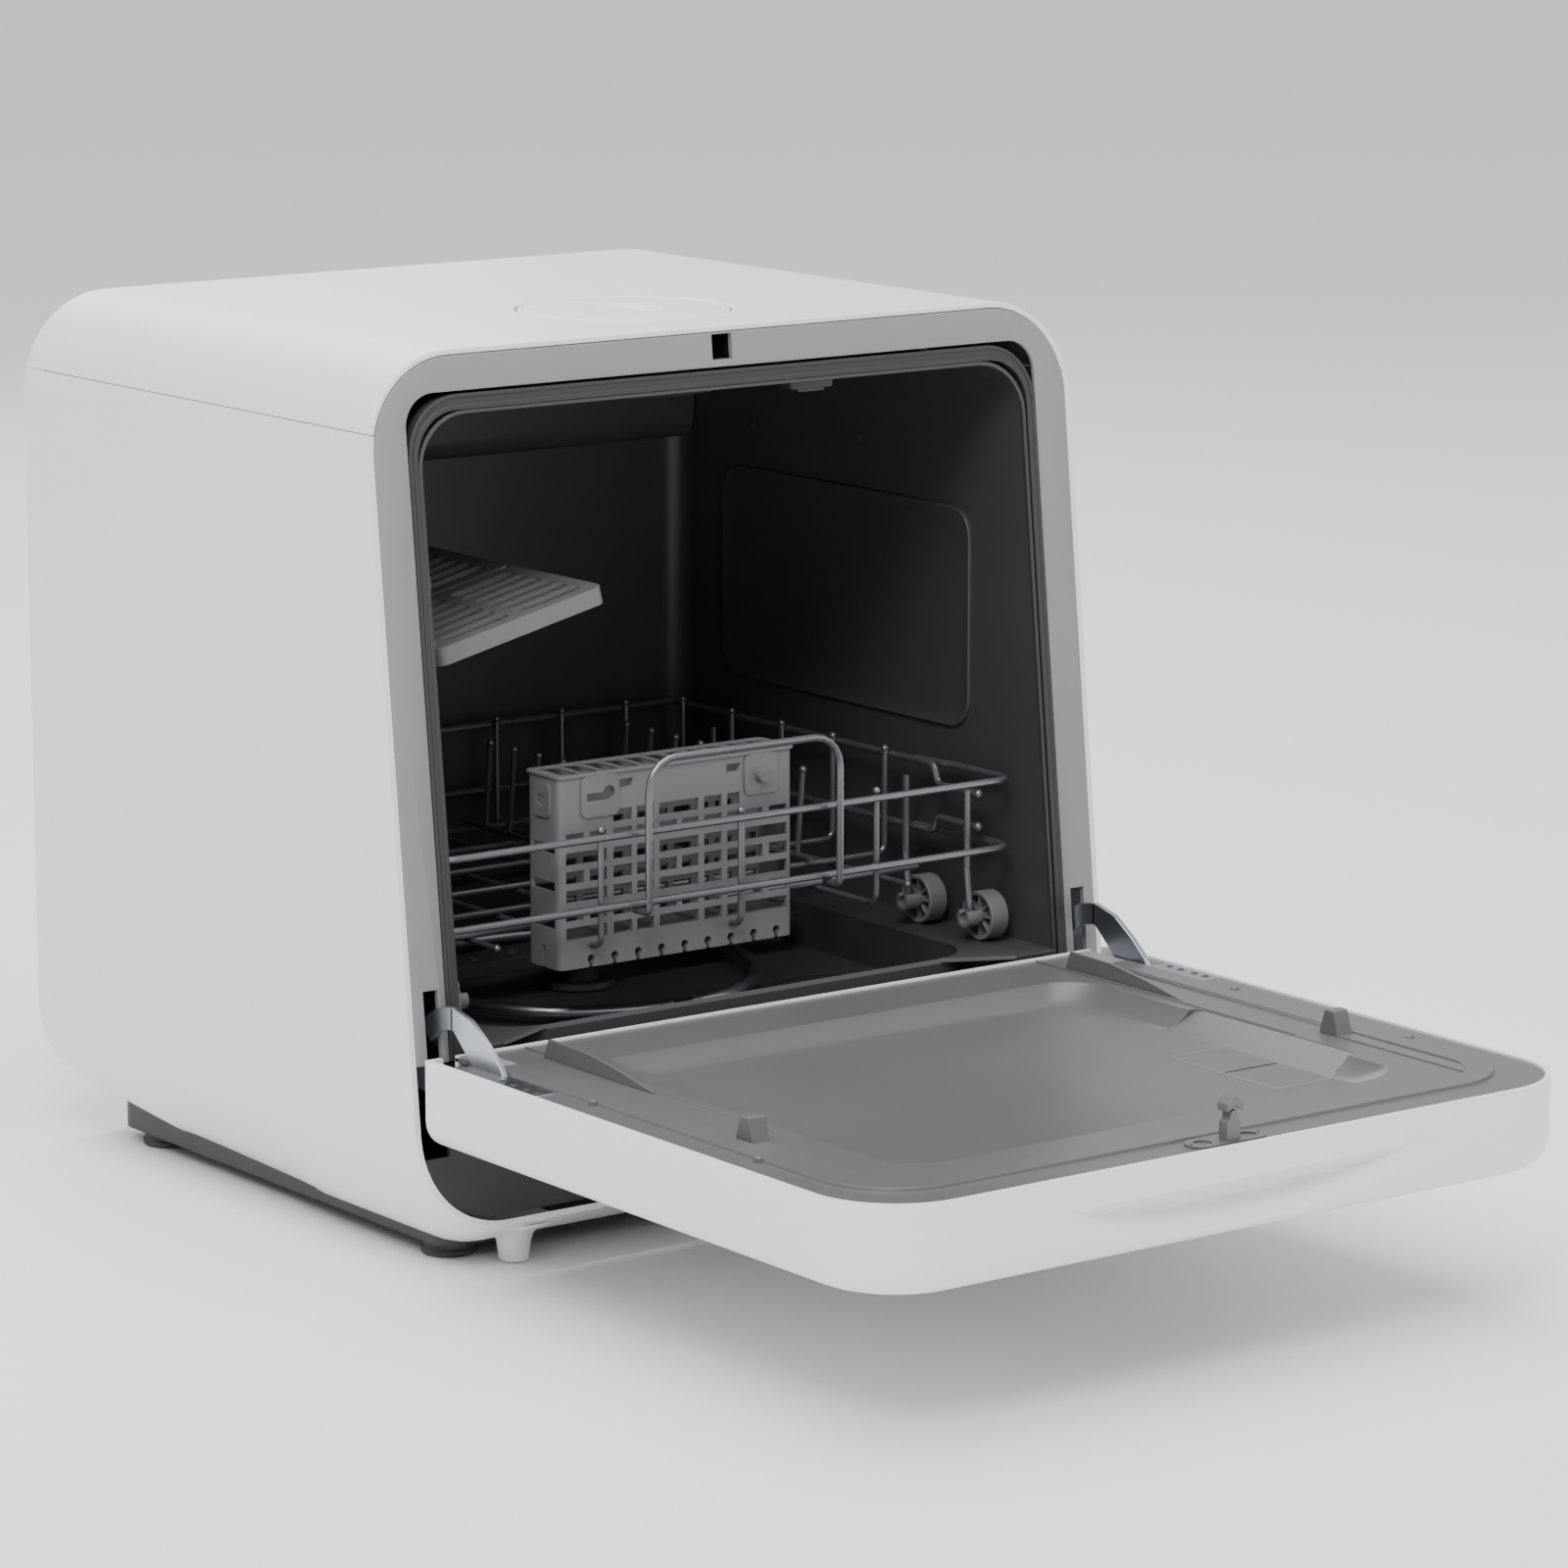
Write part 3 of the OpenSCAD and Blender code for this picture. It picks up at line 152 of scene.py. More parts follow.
@dataclass(frozen=True)
class Finish:
    """One surface of the dishwasher and how light meets it."""

    name: str
    slot: str
    colour: Point
    roughness: float = 0.45
    metallic: float = 0.0
    fine: float = 900.0
    broad: float = 9.0
    stretch: float = 1.0
    bump: float = 0.05
    depth: float = 0.0001
    mottle: float = 0.06
    rough_swing: float = 0.08
    # Strength of the painted highlight that lightens convex edges.
    edge: float = 0.12
    coat: float = 0.0

    def material(self) -> bpy.types.Material:
        """Builds the finish's node material, or finds it if it is there.

        Returns:
            The material that pieces of this finish carry.
        """
        if self.name in bpy.data.materials:
            return bpy.data.materials[self.name]
        made = bpy.data.materials.new(self.name)
        made.use_nodes = True
        n, link = made.node_tree.nodes, made.node_tree.links.new
        shader = n["Principled BSDF"]
        shader.inputs["Metallic"].default_value = self.metallic
        shader.inputs["Coat Weight"].default_value = self.coat
        shader.inputs["Coat Roughness"].default_value = 0.12
        grain, highlight_mask = n.new("ShaderNodeGroup"), n.new("ShaderNodeGroup")
        grain.node_tree, highlight_mask.node_tree = grain_group(), edge_highlight_group()
        grain.inputs["Fine"].default_value = self.fine
        grain.inputs["Broad"].default_value = self.broad
        grain.inputs["Stretch"].default_value = self.stretch
        tone = n.new("ShaderNodeMix")
        tone.data_type = "RGBA"
        tone.inputs["A"].default_value = (*[c * (1 - self.mottle) for c in self.colour], 1)
        tone.inputs["B"].default_value = (*[min(1, c * (1 + self.mottle)) for c in self.colour], 1)
        link(grain.outputs["Mottle"], tone.inputs["Factor"])
        # Painted highlight: convex edges, picked out by pointiness, get a lighter base colour.
        lit = n.new("ShaderNodeMix")
        lit.data_type = "RGBA"
        lit.inputs["B"].default_value = (*[min(1, c * (1 + 2.2 * self.edge) + 0.02 * self.edge)
                                           for c in self.colour], 1)
        strength = n.new("ShaderNodeMath")
        strength.operation = "MULTIPLY"
        strength.inputs[1].default_value = min(1, 4 * self.edge)
        link(highlight_mask.outputs["Mask"], strength.inputs[0])
        link(strength.outputs[0], lit.inputs["Factor"])
        link(tone.outputs["Result"], lit.inputs["A"])
        link(lit.outputs["Result"], shader.inputs["Base Color"])
        rough = n.new("ShaderNodeMapRange")
        rough.inputs["To Min"].default_value = self.roughness - self.rough_swing
        rough.inputs["To Max"].default_value = self.roughness + self.rough_swing
        link(grain.outputs["Mottle"], rough.inputs["Value"])
        link(rough.outputs[0], shader.inputs["Roughness"])
        bump = n.new("ShaderNodeBump")
        bump.inputs["Strength"].default_value = self.bump
        bump.inputs["Distance"].default_value = self.depth
        link(grain.outputs["Height"], bump.inputs["Height"])
        link(bump.outputs[0], shader.inputs["Normal"])
        return made


class Looks:
    """All finishes of the dishwasher, by the maker's words for them."""

    # Each finish's edge value sets its painted highlight on convex edges.
    enamel = Finish("white_enamel", "shell_white", (0.86, 0.86, 0.87), 0.36, fine=260, bump=0.03,
                    depth=0.00006, mottle=0.012, rough_swing=0.05, edge=0.03, coat=0.15)
    frame = Finish("frame_plastic", "plastic_grey", (0.25, 0.25, 0.255), 0.5, fine=1400, bump=0.08)
    liner = Finish("liner_plastic", "liner_grey", (0.115, 0.115, 0.118), 0.33, fine=1100, bump=0.06)
    tub = Finish("tub_plastic", "tub_dark", (0.055, 0.055, 0.057), 0.38, fine=800, bump=0.05,
                 mottle=0.12, edge=0.2)
    seal = Finish("seal_rubber", "rubber_black", (0.035, 0.035, 0.037), 0.55, fine=1600, bump=0.1)
    rubber = Finish("pad_rubber", "rubber_black", (0.05, 0.05, 0.052), 0.75, fine=1500, bump=0.15)
    steel = Finish("brushed_steel", "steel", (0.46, 0.49, 0.54), 0.32, 1.0, fine=220, stretch=9.0,
                   bump=0.08, mottle=0.08, edge=0.1)
    wire = Finish("coated_wire", "rack_wire", (0.17, 0.17, 0.185), 0.3, 0.7, fine=1500, bump=0.04,
                  broad=30, mottle=0.1, edge=0.2)
    grey = Finish("rack_plastic", "plastic_grey", (0.155, 0.155, 0.16), 0.45, fine=1300, bump=0.07,
                  broad=30)
    pale = Finish("pale_plastic", "plastic_light", (0.62, 0.62, 0.63), 0.28, fine=900, bump=0.03)
    dark = Finish("dark_plastic", "plastic_dark", (0.035, 0.036, 0.038), 0.5, fine=1200, bump=0.08)
    black = Finish("black_plastic", "plastic_black", (0.01, 0.01, 0.011), 0.45, fine=1200, bump=0.06)
    board = Finish("circuit_board", "board_green", (0.01, 0.09, 0.03), 0.35, fine=600, broad=120,
                   mottle=0.35, bump=0.1)


# ---------------------------------------------------------------- shaping tools


def blank() -> bmesh.types.BMesh:
    """Starts an empty mesh to shape."""
    return bmesh.new()


def placed(at: Sequence[float], along: Sequence[float] = (0, 0, 1)) -> Matrix:
    """Gives the matrix that puts local +Z along a direction, at a place.

    Args:
        at: Where the local origin goes, in metres.
        along: Direction that local +Z takes.

    Returns:
        A rigid matrix.
    """
    turned = Vector(along).normalized().to_track_quat("Z", "Y").to_matrix().to_4x4()
    return Matrix.Translation(Vector(at)) @ turned


def boxed(bm: bmesh.types.BMesh, lo: Sequence[float], hi: Sequence[float]) -> list:
    """Adds a box between two corners.

    Args:
        bm: Mesh to add to.
        lo: Low corner in metres.
        hi: High corner in metres.

    Returns:
        The new vertices.
    """
    low, high = Vector(lo), Vector(hi)
    size = high - low
    matrix = Matrix.Translation((low + high) / 2) @ Matrix.Diagonal((*size, 1.0))
    return bmesh.ops.create_cube(bm, size=1.0, matrix=matrix)["verts"]


def edges_where(bm: bmesh.types.BMesh, test: Callable[[Vector, Vector], bool],
                among: Iterable | None = None) -> list:
    """Picks the edges whose two ends pass a test.

    Args:
        bm: Mesh to look through.
        test: Function of the two end points.
        among: Vertices that both ends must belong to, or None for all.

    Returns:
        The edges that pass.
    """
    allowed = set(among) if among is not None else None
    return [e for e in bm.edges
            if (allowed is None or (e.verts[0] in allowed and e.verts[1] in allowed))
            and test(e.verts[0].co, e.verts[1].co)]


def rounded(bm: bmesh.types.BMesh, edges: list, radius: float, steps: int = 6) -> None:
    """Rounds edges to a radius.

    Args:
        bm: Mesh that holds them.
        edges: Edges to round.
        radius: Radius in metres.
        steps: Facets across each rounding.
    """
    if edges:
        bmesh.ops.bevel(bm, geom=edges, offset=radius, offset_type="OFFSET", segments=steps,
                        profile=0.5, affect="EDGES", material=-1, clamp_overlap=True)


def round_slab(bm: bmesh.types.BMesh, lo: Sequence[float], hi: Sequence[float], axis: Axis,
               radius: float, steps: int = 8) -> list:
    """Adds a box whose four edges along one axis are rounded.

    Args:
        bm: Mesh to add to.
        lo: Low corner.
        hi: High corner.
        axis: Direction of the rounded edges.
        radius: Their radius.
        steps: Facets across each rounding.

    Returns:
        All vertices of the slab.
    """
    before = set(bm.verts)
    boxed(bm, lo, hi)
    new = [v for v in bm.verts if v not in before]
    along = Vector(axis.value)
    picked = edges_where(bm, lambda a, b: abs((a - b).normalized().dot(along)) > 0.99, new)
    rounded(bm, picked, radius, steps)
    return [v for v in bm.verts if v not in before]


def drum(bm: bmesh.types.BMesh, at: Sequence[float], along: Sequence[float], length: float,
         radius: float, end_radius: float | None = None, sides: int = 48) -> list:
    """Adds a capped round bar or cone.

    Args:
        bm: Mesh to add to.
        at: Centre of the first end.
        along: Direction of the bar.
        length: Its length.
        radius: Radius at the first end.
        end_radius: Radius at the other end, the same if None.
        sides: Facets round it.

    Returns:
        The new vertices.
    """
    far = radius if end_radius is None else end_radius
    matrix = placed(at, along) @ Matrix.Translation((0, 0, length / 2))
    return bmesh.ops.create_cone(bm, cap_ends=True, cap_tris=False, segments=sides, radius1=radius,
                                 radius2=far, depth=length, matrix=matrix)["verts"]


def lathe(bm: bmesh.types.BMesh, profile: Sequence[tuple[float, float]], at: Sequence[float],
          along: Sequence[float] = (0, 0, 1), sides: int = 48) -> list:
    """Turns a profile round an axis, as on a lathe.

    Args:
        bm: Mesh to add to.
        profile: Radius and height pairs in metres, from one end to the other.
        at: Place of height zero.
        along: Direction of the axis.
        sides: Facets round it.

    Returns:
        The new vertices.
    """
    before = set(bm.verts)
    matrix = placed(at, along)
    points = [bm.verts.new(matrix @ Vector((r, 0, h))) for r, h in profile]
    lines = [bm.edges.new(pair) for pair in zip(points, points[1:])]
    bmesh.ops.spin(bm, geom=points + lines, cent=Vector(at), axis=Vector(along).normalized(),
                   angle=math.tau, steps=sides, use_merge=True)
    new = [v for v in bm.verts if v not in before]
    bmesh.ops.remove_doubles(bm, verts=new, dist=1e-6)
    new = [v for v in bm.verts if v not in before]
    bmesh.ops.recalc_face_normals(bm, faces=list({f for v in new for f in v.link_faces}))
    return new


def prism(bm: bmesh.types.BMesh, outline: Sequence[Sequence[float]], push: Sequence[float]) -> list:
    """Pushes a flat outline out into a solid.

    Args:
        bm: Mesh to add to.
        outline: Corners of the flat face in order.
        push: Vector that the face is pushed along.

    Returns:
        The new vertices.
    """
    before = set(bm.verts)
    face = bm.faces.new([bm.verts.new(Vector(p)) for p in outline])
    swept = bmesh.ops.extrude_face_region(bm, geom=[face])
    moved = [g for g in swept["geom"] if isinstance(g, bmesh.types.BMVert)]
    bmesh.ops.translate(bm, verts=moved, vec=Vector(push))
    new = [v for v in bm.verts if v not in before]
    bmesh.ops.recalc_face_normals(bm, faces=list({f for v in new for f in v.link_faces}))
    return new


def swept(bm: bmesh.types.BMesh, points: Sequence[Point], section: Callable[[Matrix], list],
          bend: float | Sequence[float], steps: int = 5) -> None:
    """Draws a section along straight runs and round bends.

    Args:
        bm: Mesh to add to.
        points: Corners of the path in metres.
        section: Adds the section at a matrix and returns its edges.
        bend: Radius of every bend, or one radius for each.
        steps: Facets round each bend.
    """
    path = [Vector(p) for p in points]
    bends = [bend] * len(path) if isinstance(bend, float) else [0.0, *bend, 0.0]
    before = set(bm.verts)
    heading = (path[1] - path[0]).normalized()
    ring = section(placed(path[0], heading))
    first, here = ring, path[0].copy()
    for i in range(1, len(path)):
        heading = (path[i] - path[i - 1]).normalized()
        last = i == len(path) - 1
        angle = 0.0 if last else heading.angle(path[i + 1] - path[i])
        cut = 0.0 if last or angle < 1e-4 else bends[i] * math.tan(angle / 2)
        stop = path[i] - heading * cut
        grown = bmesh.ops.extrude_edge_only(bm, edges=ring)["geom"]
        bmesh.ops.translate(bm, vec=stop - here, verts=[g for g in grown if isinstance(g, bmesh.types.BMVert)])
        ring = [g for g in grown if isinstance(g, bmesh.types.BMEdge)]
        here = stop
        if not last and angle > 1e-4:
            onward = (path[i + 1] - path[i]).normalized()
            axle = heading.cross(onward).normalized()
            centre = stop + (onward - heading * heading.dot(onward)).normalized() * bends[i]
            corners = list({v for e in ring for v in e.verts})
            spun = bmesh.ops.spin(bm, geom=corners + ring, cent=centre, axis=axle, angle=angle,
                                  steps=max(2, round(steps * angle / 1.57)), use_duplicate=False)
            ring = [g for g in spun["geom_last"] if isinstance(g, bmesh.types.BMEdge)]
            here = path[i] + onward * cut
    bmesh.ops.edgeloop_fill(bm, edges=first)
    bmesh.ops.edgeloop_fill(bm, edges=ring)
    new = {f for v in bm.verts if v not in before for f in v.link_faces}
    bmesh.ops.recalc_face_normals(bm, faces=list(new))


def wire(bm: bmesh.types.BMesh, points: Sequence[Point], radius: float,
         bend: float | Sequence[float] = 0.008,
         tips: tuple[Tip, Tip] = (Tip.FLAT, Tip.FLAT), sides: int = 10) -> None:
    """Bends a round wire through corner points.

    Args:
        bm: Mesh to add to.
        points: Corners in metres.
        radius: Radius of the wire.
        bend: Radius of its bends on the middle line, or one for each.
        tips: How both ends are closed.
        sides: Facets round the wire.
    """

    def ring(matrix: Matrix) -> list:
        """Adds the wire's round section and returns its edges."""
        verts = bmesh.ops.create_circle(bm, cap_ends=False, segments=sides, radius=radius,
                                        matrix=matrix)["verts"]
        return list({e for v in verts for e in v.link_edges})

    swept(bm, points, ring, bend)
    for tip, end in zip(tips, (points[0], points[-1])):
        if tip is Tip.BALL:
            bmesh.ops.create_uvsphere(bm, u_segments=10, v_segments=6, radius=radius * 1.35,
                                      matrix=Matrix.Translation(Vector(end)))


def raked_cut(bm: bmesh.types.BMesh, behind: float = 0.0, keep_back: bool = True, capped: bool = False) -> None:
    """Cuts the mesh along the leaning front plane.

    Args:
        bm: Mesh to cut.
        behind: Distance of the cut behind the front plane, in metres.
        keep_back: True keeps what lies behind the cut.
        capped: True closes the cut with a face.
    """
    normal = Vector((0, math.cos(RAKE), -math.sin(RAKE)))
    sliced(bm, Vector((0, 0, RIM_Z)) + normal * behind, normal if keep_back else -normal, capped)


def sliced(bm: bmesh.types.BMesh, at: Sequence[float], keep: Sequence[float], capped: bool = False) -> None:
    """Cuts the mesh with a plane and keeps the side that a vector points to.

    Args:
        bm: Mesh to cut.
        at: A point of the plane.
        keep: Vector towards the kept side.
        capped: True closes the cut with a face.
    """
    cut = bmesh.ops.bisect_plane(bm, geom=bm.verts[:] + bm.edges[:] + bm.faces[:], plane_co=Vector(at),
                                 plane_no=-Vector(keep), clear_outer=True, dist=1e-7)
    if capped:
        rim = [g for g in cut["geom_cut"] if isinstance(g, bmesh.types.BMEdge)]
        bmesh.ops.edgeloop_fill(bm, edges=rim)


def mirrored(bm: bmesh.types.BMesh) -> None:
    """Adds the other side of what stands on the right.

    Args:
        bm: Mesh to copy across the middle plane.
    """
    copy = bmesh.ops.duplicate(bm, geom=bm.verts[:] + bm.edges[:] + bm.faces[:])["geom"]
    verts = [g for g in copy if isinstance(g, bmesh.types.BMVert)]
    bmesh.ops.scale(bm, vec=(-1, 1, 1), verts=verts)
    bmesh.ops.reverse_faces(bm, faces=[g for g in copy if isinstance(g, bmesh.types.BMFace)])


def flip_sides(bm: bmesh.types.BMesh) -> None:
    """Moves a right-hand shape to the left side.

    Args:
        bm: Mesh to turn over.
    """
    bmesh.ops.scale(bm, vec=(-1, 1, 1), verts=bm.verts[:])
    bmesh.ops.reverse_faces(bm, faces=bm.faces[:])


@dataclass
class Edging:
    """Small rounding that finishes a piece's sharp edges."""

    width: float = 0.0004
    steps: int = 2
    angle: float = 35.0


def carve(piece: bpy.types.Object, tool: bmesh.types.BMesh) -> None:
    """Takes a shape out of a piece for good.

    Args:
        piece: Object to cut.
        tool: Shape to remove; it is used up.
    """
    mesh = bpy.data.meshes.new("tool")
    bmesh.ops.recalc_face_normals(tool, faces=tool.faces[:])
    tool.to_mesh(mesh)
    tool.free()
    cutter = bpy.data.objects.new("tool", mesh)
    bpy.context.scene.collection.objects.link(cutter)
    step = piece.modifiers.new("carve", "BOOLEAN")
    step.operation, step.object, step.solver = "DIFFERENCE", cutter, "EXACT"
    step.use_self = True
    piece.modifiers.move(len(piece.modifiers) - 1, 0)
    others = [(m, m.show_viewport) for m in piece.modifiers if m != step]
    for m, _ in others:
        m.show_viewport = False
    solid = bpy.data.meshes.new_from_object(
        piece.evaluated_get(bpy.context.evaluated_depsgraph_get()))
    for m, shown in others:
        m.show_viewport = shown
    piece.modifiers.remove(step)
    old, name = piece.data, piece.data.name
    piece.data = solid
    bpy.data.meshes.remove(old)
    solid.name = name
    bpy.data.objects.remove(cutter)
    bpy.data.meshes.remove(mesh)
    soften(solid, flat=True)


def soften(mesh: bpy.types.Mesh, angle: float = 35.0, flat: bool = False) -> None:
    """Shades a mesh smooth and keeps its corners sharp.

    Args:
        mesh: Mesh to shade.
        angle: Angle in degrees from which an edge counts as a corner.
        flat: True splits faces of many corners into triangles first.
    """
    bm = bmesh.new()
    bm.from_mesh(mesh)
    if flat:
        bmesh.ops.triangulate(bm, faces=[f for f in bm.faces if len(f.verts) > 4])
    for face in bm.faces:
        face.smooth = True
    for edge in bm.edges:
        edge.smooth = edge.calc_face_angle(0.0) < math.radians(angle)
    bm.to_mesh(mesh)
    bm.free()


def settle(name: str, bm: bmesh.types.BMesh, body: str, finish: Finish, nodes: Sequence[str] = (),
           edging: Edging | None = None, wall: float = 0.0, outward: float = -1.0,
           recalc: bool = True) -> bpy.types.Object:
    """Turns a shaped mesh into a finished piece that rides on a body.

    Args:
        name: Name of the piece.
        bm: Shaped mesh; it is used up.
        body: Body of the frame that it rides on.
        finish: Its surface.
        nodes: Solids of the frame that it stands for.
        edging: Rounding of its sharp edges, or None.
        wall: Thickness given to an open skin, or 0.
        outward: Side on which the wall grows, -1 inwards and 1 outwards.
        recalc: True turns all faces outwards first.

    Returns:
        The piece.
    """
    if recalc:
        bmesh.ops.recalc_face_normals(bm, faces=bm.faces[:])
    mesh = bpy.data.meshes.new(name)
    bm.to_mesh(mesh)
    bm.free()
    piece = bpy.data.objects.new(name, mesh)
    bpy.context.scene.collection.objects.link(piece)
    mesh.materials.append(finish.material())
    soften(mesh)
    if wall:
        skin = piece.modifiers.new("wall", "SOLIDIFY")
        skin.thickness, skin.offset, skin.use_even_offset = wall, outward, True
        skin.use_quality_normals = True
    if edging:
        step = piece.modifiers.new("edging", "BEVEL")
        step.width, step.segments, step.limit_method = edging.width, edging.steps, "ANGLE"
        step.angle_limit = math.radians(edging.angle)
        step.harden_normals = True
        step.use_clamp_overlap = True
    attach(piece, body)
    if nodes:
        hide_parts(*nodes)
    LOG.info("made %s on %s", name, body)
    return piece


def fixed_wall(piece: bpy.types.Object) -> None:
    """Makes a piece's live steps part of its mesh.

    Args:
        piece: Object whose modifiers are settled.
    """
    solid = bpy.data.meshes.new_from_object(
        piece.evaluated_get(bpy.context.evaluated_depsgraph_get()))
    piece.modifiers.clear()
    old, name = piece.data, piece.data.name
    piece.data = solid
    bpy.data.meshes.remove(old)
    solid.name = name
    soften(solid)


def add_edging(piece: bpy.types.Object, edging: Edging) -> None:
    """Adds the live rounding of sharp edges to a piece.

    Args:
        piece: Object to finish.
        edging: Rounding to give it.
    """
    step = piece.modifiers.new("edging", "BEVEL")
    step.width, step.segments, step.limit_method = edging.width, edging.steps, "ANGLE"
    step.angle_limit, step.harden_normals = math.radians(edging.angle), True
    step.use_clamp_overlap = True


# ---------------------------------------------------------------- cabinet


@dataclass
class Cabinet:
    """White case with its frame, lid, feet and rear."""

    half_w: float = 0.210
    low: float = 0.025
    top: float = 0.440
    back: float = 0.352
    radius: float = 0.048
    skin: float = 0.003
    seam: float = 0.403
    opening: float = 0.188
    opening_top: float = 0.420
    band_low: float = 0.107
    lid_radius: float = 0.053
    lid_y: float = 0.122
    belly: float = 0.0155

    def deepen(self, bm: bmesh.types.BMesh) -> None:
        """Lets the floor sink behind the front edge and rise to the rear, and dents the hand grips.

        Args:
            bm: Mesh of the skin.
        """
        for y in (0.004, 0.010, 0.016, 0.022, 0.030, 0.045, 0.09, 0.127, 0.129, 0.133, 0.14, 0.155, 0.175, 0.195,
                  0.215, 0.235, 0.25, 0.257, 0.261, 0.263, 0.29, 0.32, 0.34):
            bmesh.ops.bisect_plane(bm, geom=bm.verts[:] + bm.edges[:] + bm.faces[:], plane_co=(0, y, 0),
                                   plane_no=(0, 1, 0))
        top = self.low + self.radius
        for v in bm.verts:
            if v.co.z < top:
                rise = min(1.0, max(0.0, (v.co.y + 0.009) / 0.042))
                fall = min(1.0, max(0.0, (self.back - v.co.y) / 0.20))
                share = (1 - (1 - rise) ** 2) * fall * (2 - fall)
                v.co.z -= self.belly * share * ((top - v.co.z) / self.radius) ** 2
            reach = (v.co.y - 0.128) / 0.134
            if 0 < reach < 1 and v.co.z < 0.052 and abs(v.co.x) > 0.17:
                dent = 0.005 * math.sqrt(math.sin(math.pi * reach)) * min(1.0, (0.052 - v.co.z) / 0.012)
                v.co.x -= math.copysign(dent, v.co.x)

    def wrap_skin(self) -> bmesh.types.BMesh:
        """Shapes the bent skin that runs all round the case.

        Returns:
            An open mesh with the front leaning back.
        """
        bm = blank()
        round_slab(bm, (-self.half_w, -0.05, self.low), (self.half_w, self.back, self.top), Axis.Y,
                   self.radius, 14)
        ends = [f for f in bm.faces if abs(f.normal.y) > 0.99]
        bmesh.ops.delete(bm, geom=ends, context="FACES_ONLY")
        raked_cut(bm)
        return bm

    def build_skins(self) -> None:
        """Builds the side wrap with its hand grips and the top cover with its round hole."""
        bm = self.wrap_skin()
        sliced(bm, (0, 0, self.seam), (0, 0, -1))
        self.deepen(bm)
        wrap = settle("side_wrap_skin", bm, "cabinet", Looks.enamel, ["side_wrap"], wall=self.skin,
                      recalc=True)
        fixed_wall(wrap)
        add_edging(wrap, Edging(0.0009, 3))
        bm = self.wrap_skin()
        sliced(bm, (0, 0, self.seam + 0.0003), (0, 0, 1))
        cover = settle("top_cover_skin", bm, "cabinet", Looks.enamel, ["top_cover"], wall=self.skin)
        fixed_wall(cover)
        tool = blank()
        drum(tool, (0, self.lid_y, 0.430), (0, 0, 1), 0.02, self.lid_radius + 0.0011, sides=96)
        carve(cover, tool)
        add_edging(cover, Edging(0.0009, 3))

    def build_lid(self) -> None:
        """Builds the water lid: a dished disc with a bar to grip it by."""
        r, z = self.lid_radius, self.top
        bm = blank()
        lathe(bm, [(0, z - 0.0035), (0.016, z - 0.0035), (0.0185, z - 0.0012), (0.0195, z), (r - 0.0046, z),
                   (r - 0.004, z - 0.0006), (r - 0.0032, z - 0.0006), (r - 0.0026, z), (r - 0.0008, z),
                   (r, z - 0.0008), (r, z - 0.003), (r - 0.004, z - 0.003), (r - 0.004, z - 0.0113),
                   (r - 0.006, z - 0.0113), (r - 0.006, z - 0.005), (0, z - 0.005)], (0, self.lid_y, 0),
              sides=96)
        round_slab(bm, (-0.003, self.lid_y - 0.0185, z - 0.0045), (0.003, self.lid_y + 0.0185, z - 0.0003),
                   Axis.Z, 0.0028, 4)
        settle("water_lid", bm, "fill_lid", Looks.enamel, ["fill_lid"], Edging(0.0003))

    def build_frame(self) -> None:
        """Builds the grey front frame with the latch slot and the slots of the hinge arms."""
        inset = self.skin + 0.0003
        w = self.half_w - inset
        bm = blank()
        round_slab(bm, (-w, -0.03, self.low + inset), (w, 0.09, self.top - inset), Axis.Y, self.radius - inset, 14)
        raked_cut(bm, 0.0, capped=True)
        raked_cut(bm, 0.003, keep_back=False, capped=True)
        sliced(bm, (0, 0, self.band_low), (0, 0, 1), capped=True)
        ring = settle("front_frame_ring", bm, "cabinet", Looks.frame, ["front_frame"])
        tool = blank()
        round_slab(tool, (-self.opening, -0.05, -0.05), (self.opening, 0.12, self.opening_top), Axis.Y, 0.016, 10)
        carve(ring, tool)
        add_edging(ring, Edging(0.0006, 3))
        fixed_wall(ring)
        tool = blank()
        boxed(tool, (-0.010, -0.02, 0.4235), (0.002, 0.09, 0.436))
        for side in (-1, 1):
            x = sorted((side * 0.192, side * 0.2005))
            boxed(tool, (x[0], -0.03, 0.1085), (x[1], 0.03, 0.1420))
        carve(ring, tool)

    def build_feet(self) -> None:
        """Builds the turned front feet and the stepped pads."""
        bm = blank()
        for side in (-1, 1):
            lathe(bm, [(0, 0), (0.0062, 0), (0.0072, 0.0008), (0.0078, 0.005), (0.0085, 0.010), (0.0096, 0.0135),
                       (0.0115, 0.0162), (0.0145, 0.0182), (0.0185, 0.0196), (0.0195, 0.0215), (0, 0.0215)],
                  (side * 0.143, 0.014, 0), sides=48)
        settle("front_foot_cones", bm, "cabinet", Looks.enamel, ["front_feet"])
        bm = blank()
        for x in (-0.159, 0.159):
            for y in (0.046, 0.308):
                lathe(bm, [(0, 0), (0.0125, 0), (0.014, 0.0009), (0.014, 0.0026), (0.0128, 0.0034), (0.0128, 0.0062),
                           (0, 0.0062)], (x, y, 0), sides=40)
        settle("round_pads", bm, "cabinet", Looks.rubber, ["pad_feet"])

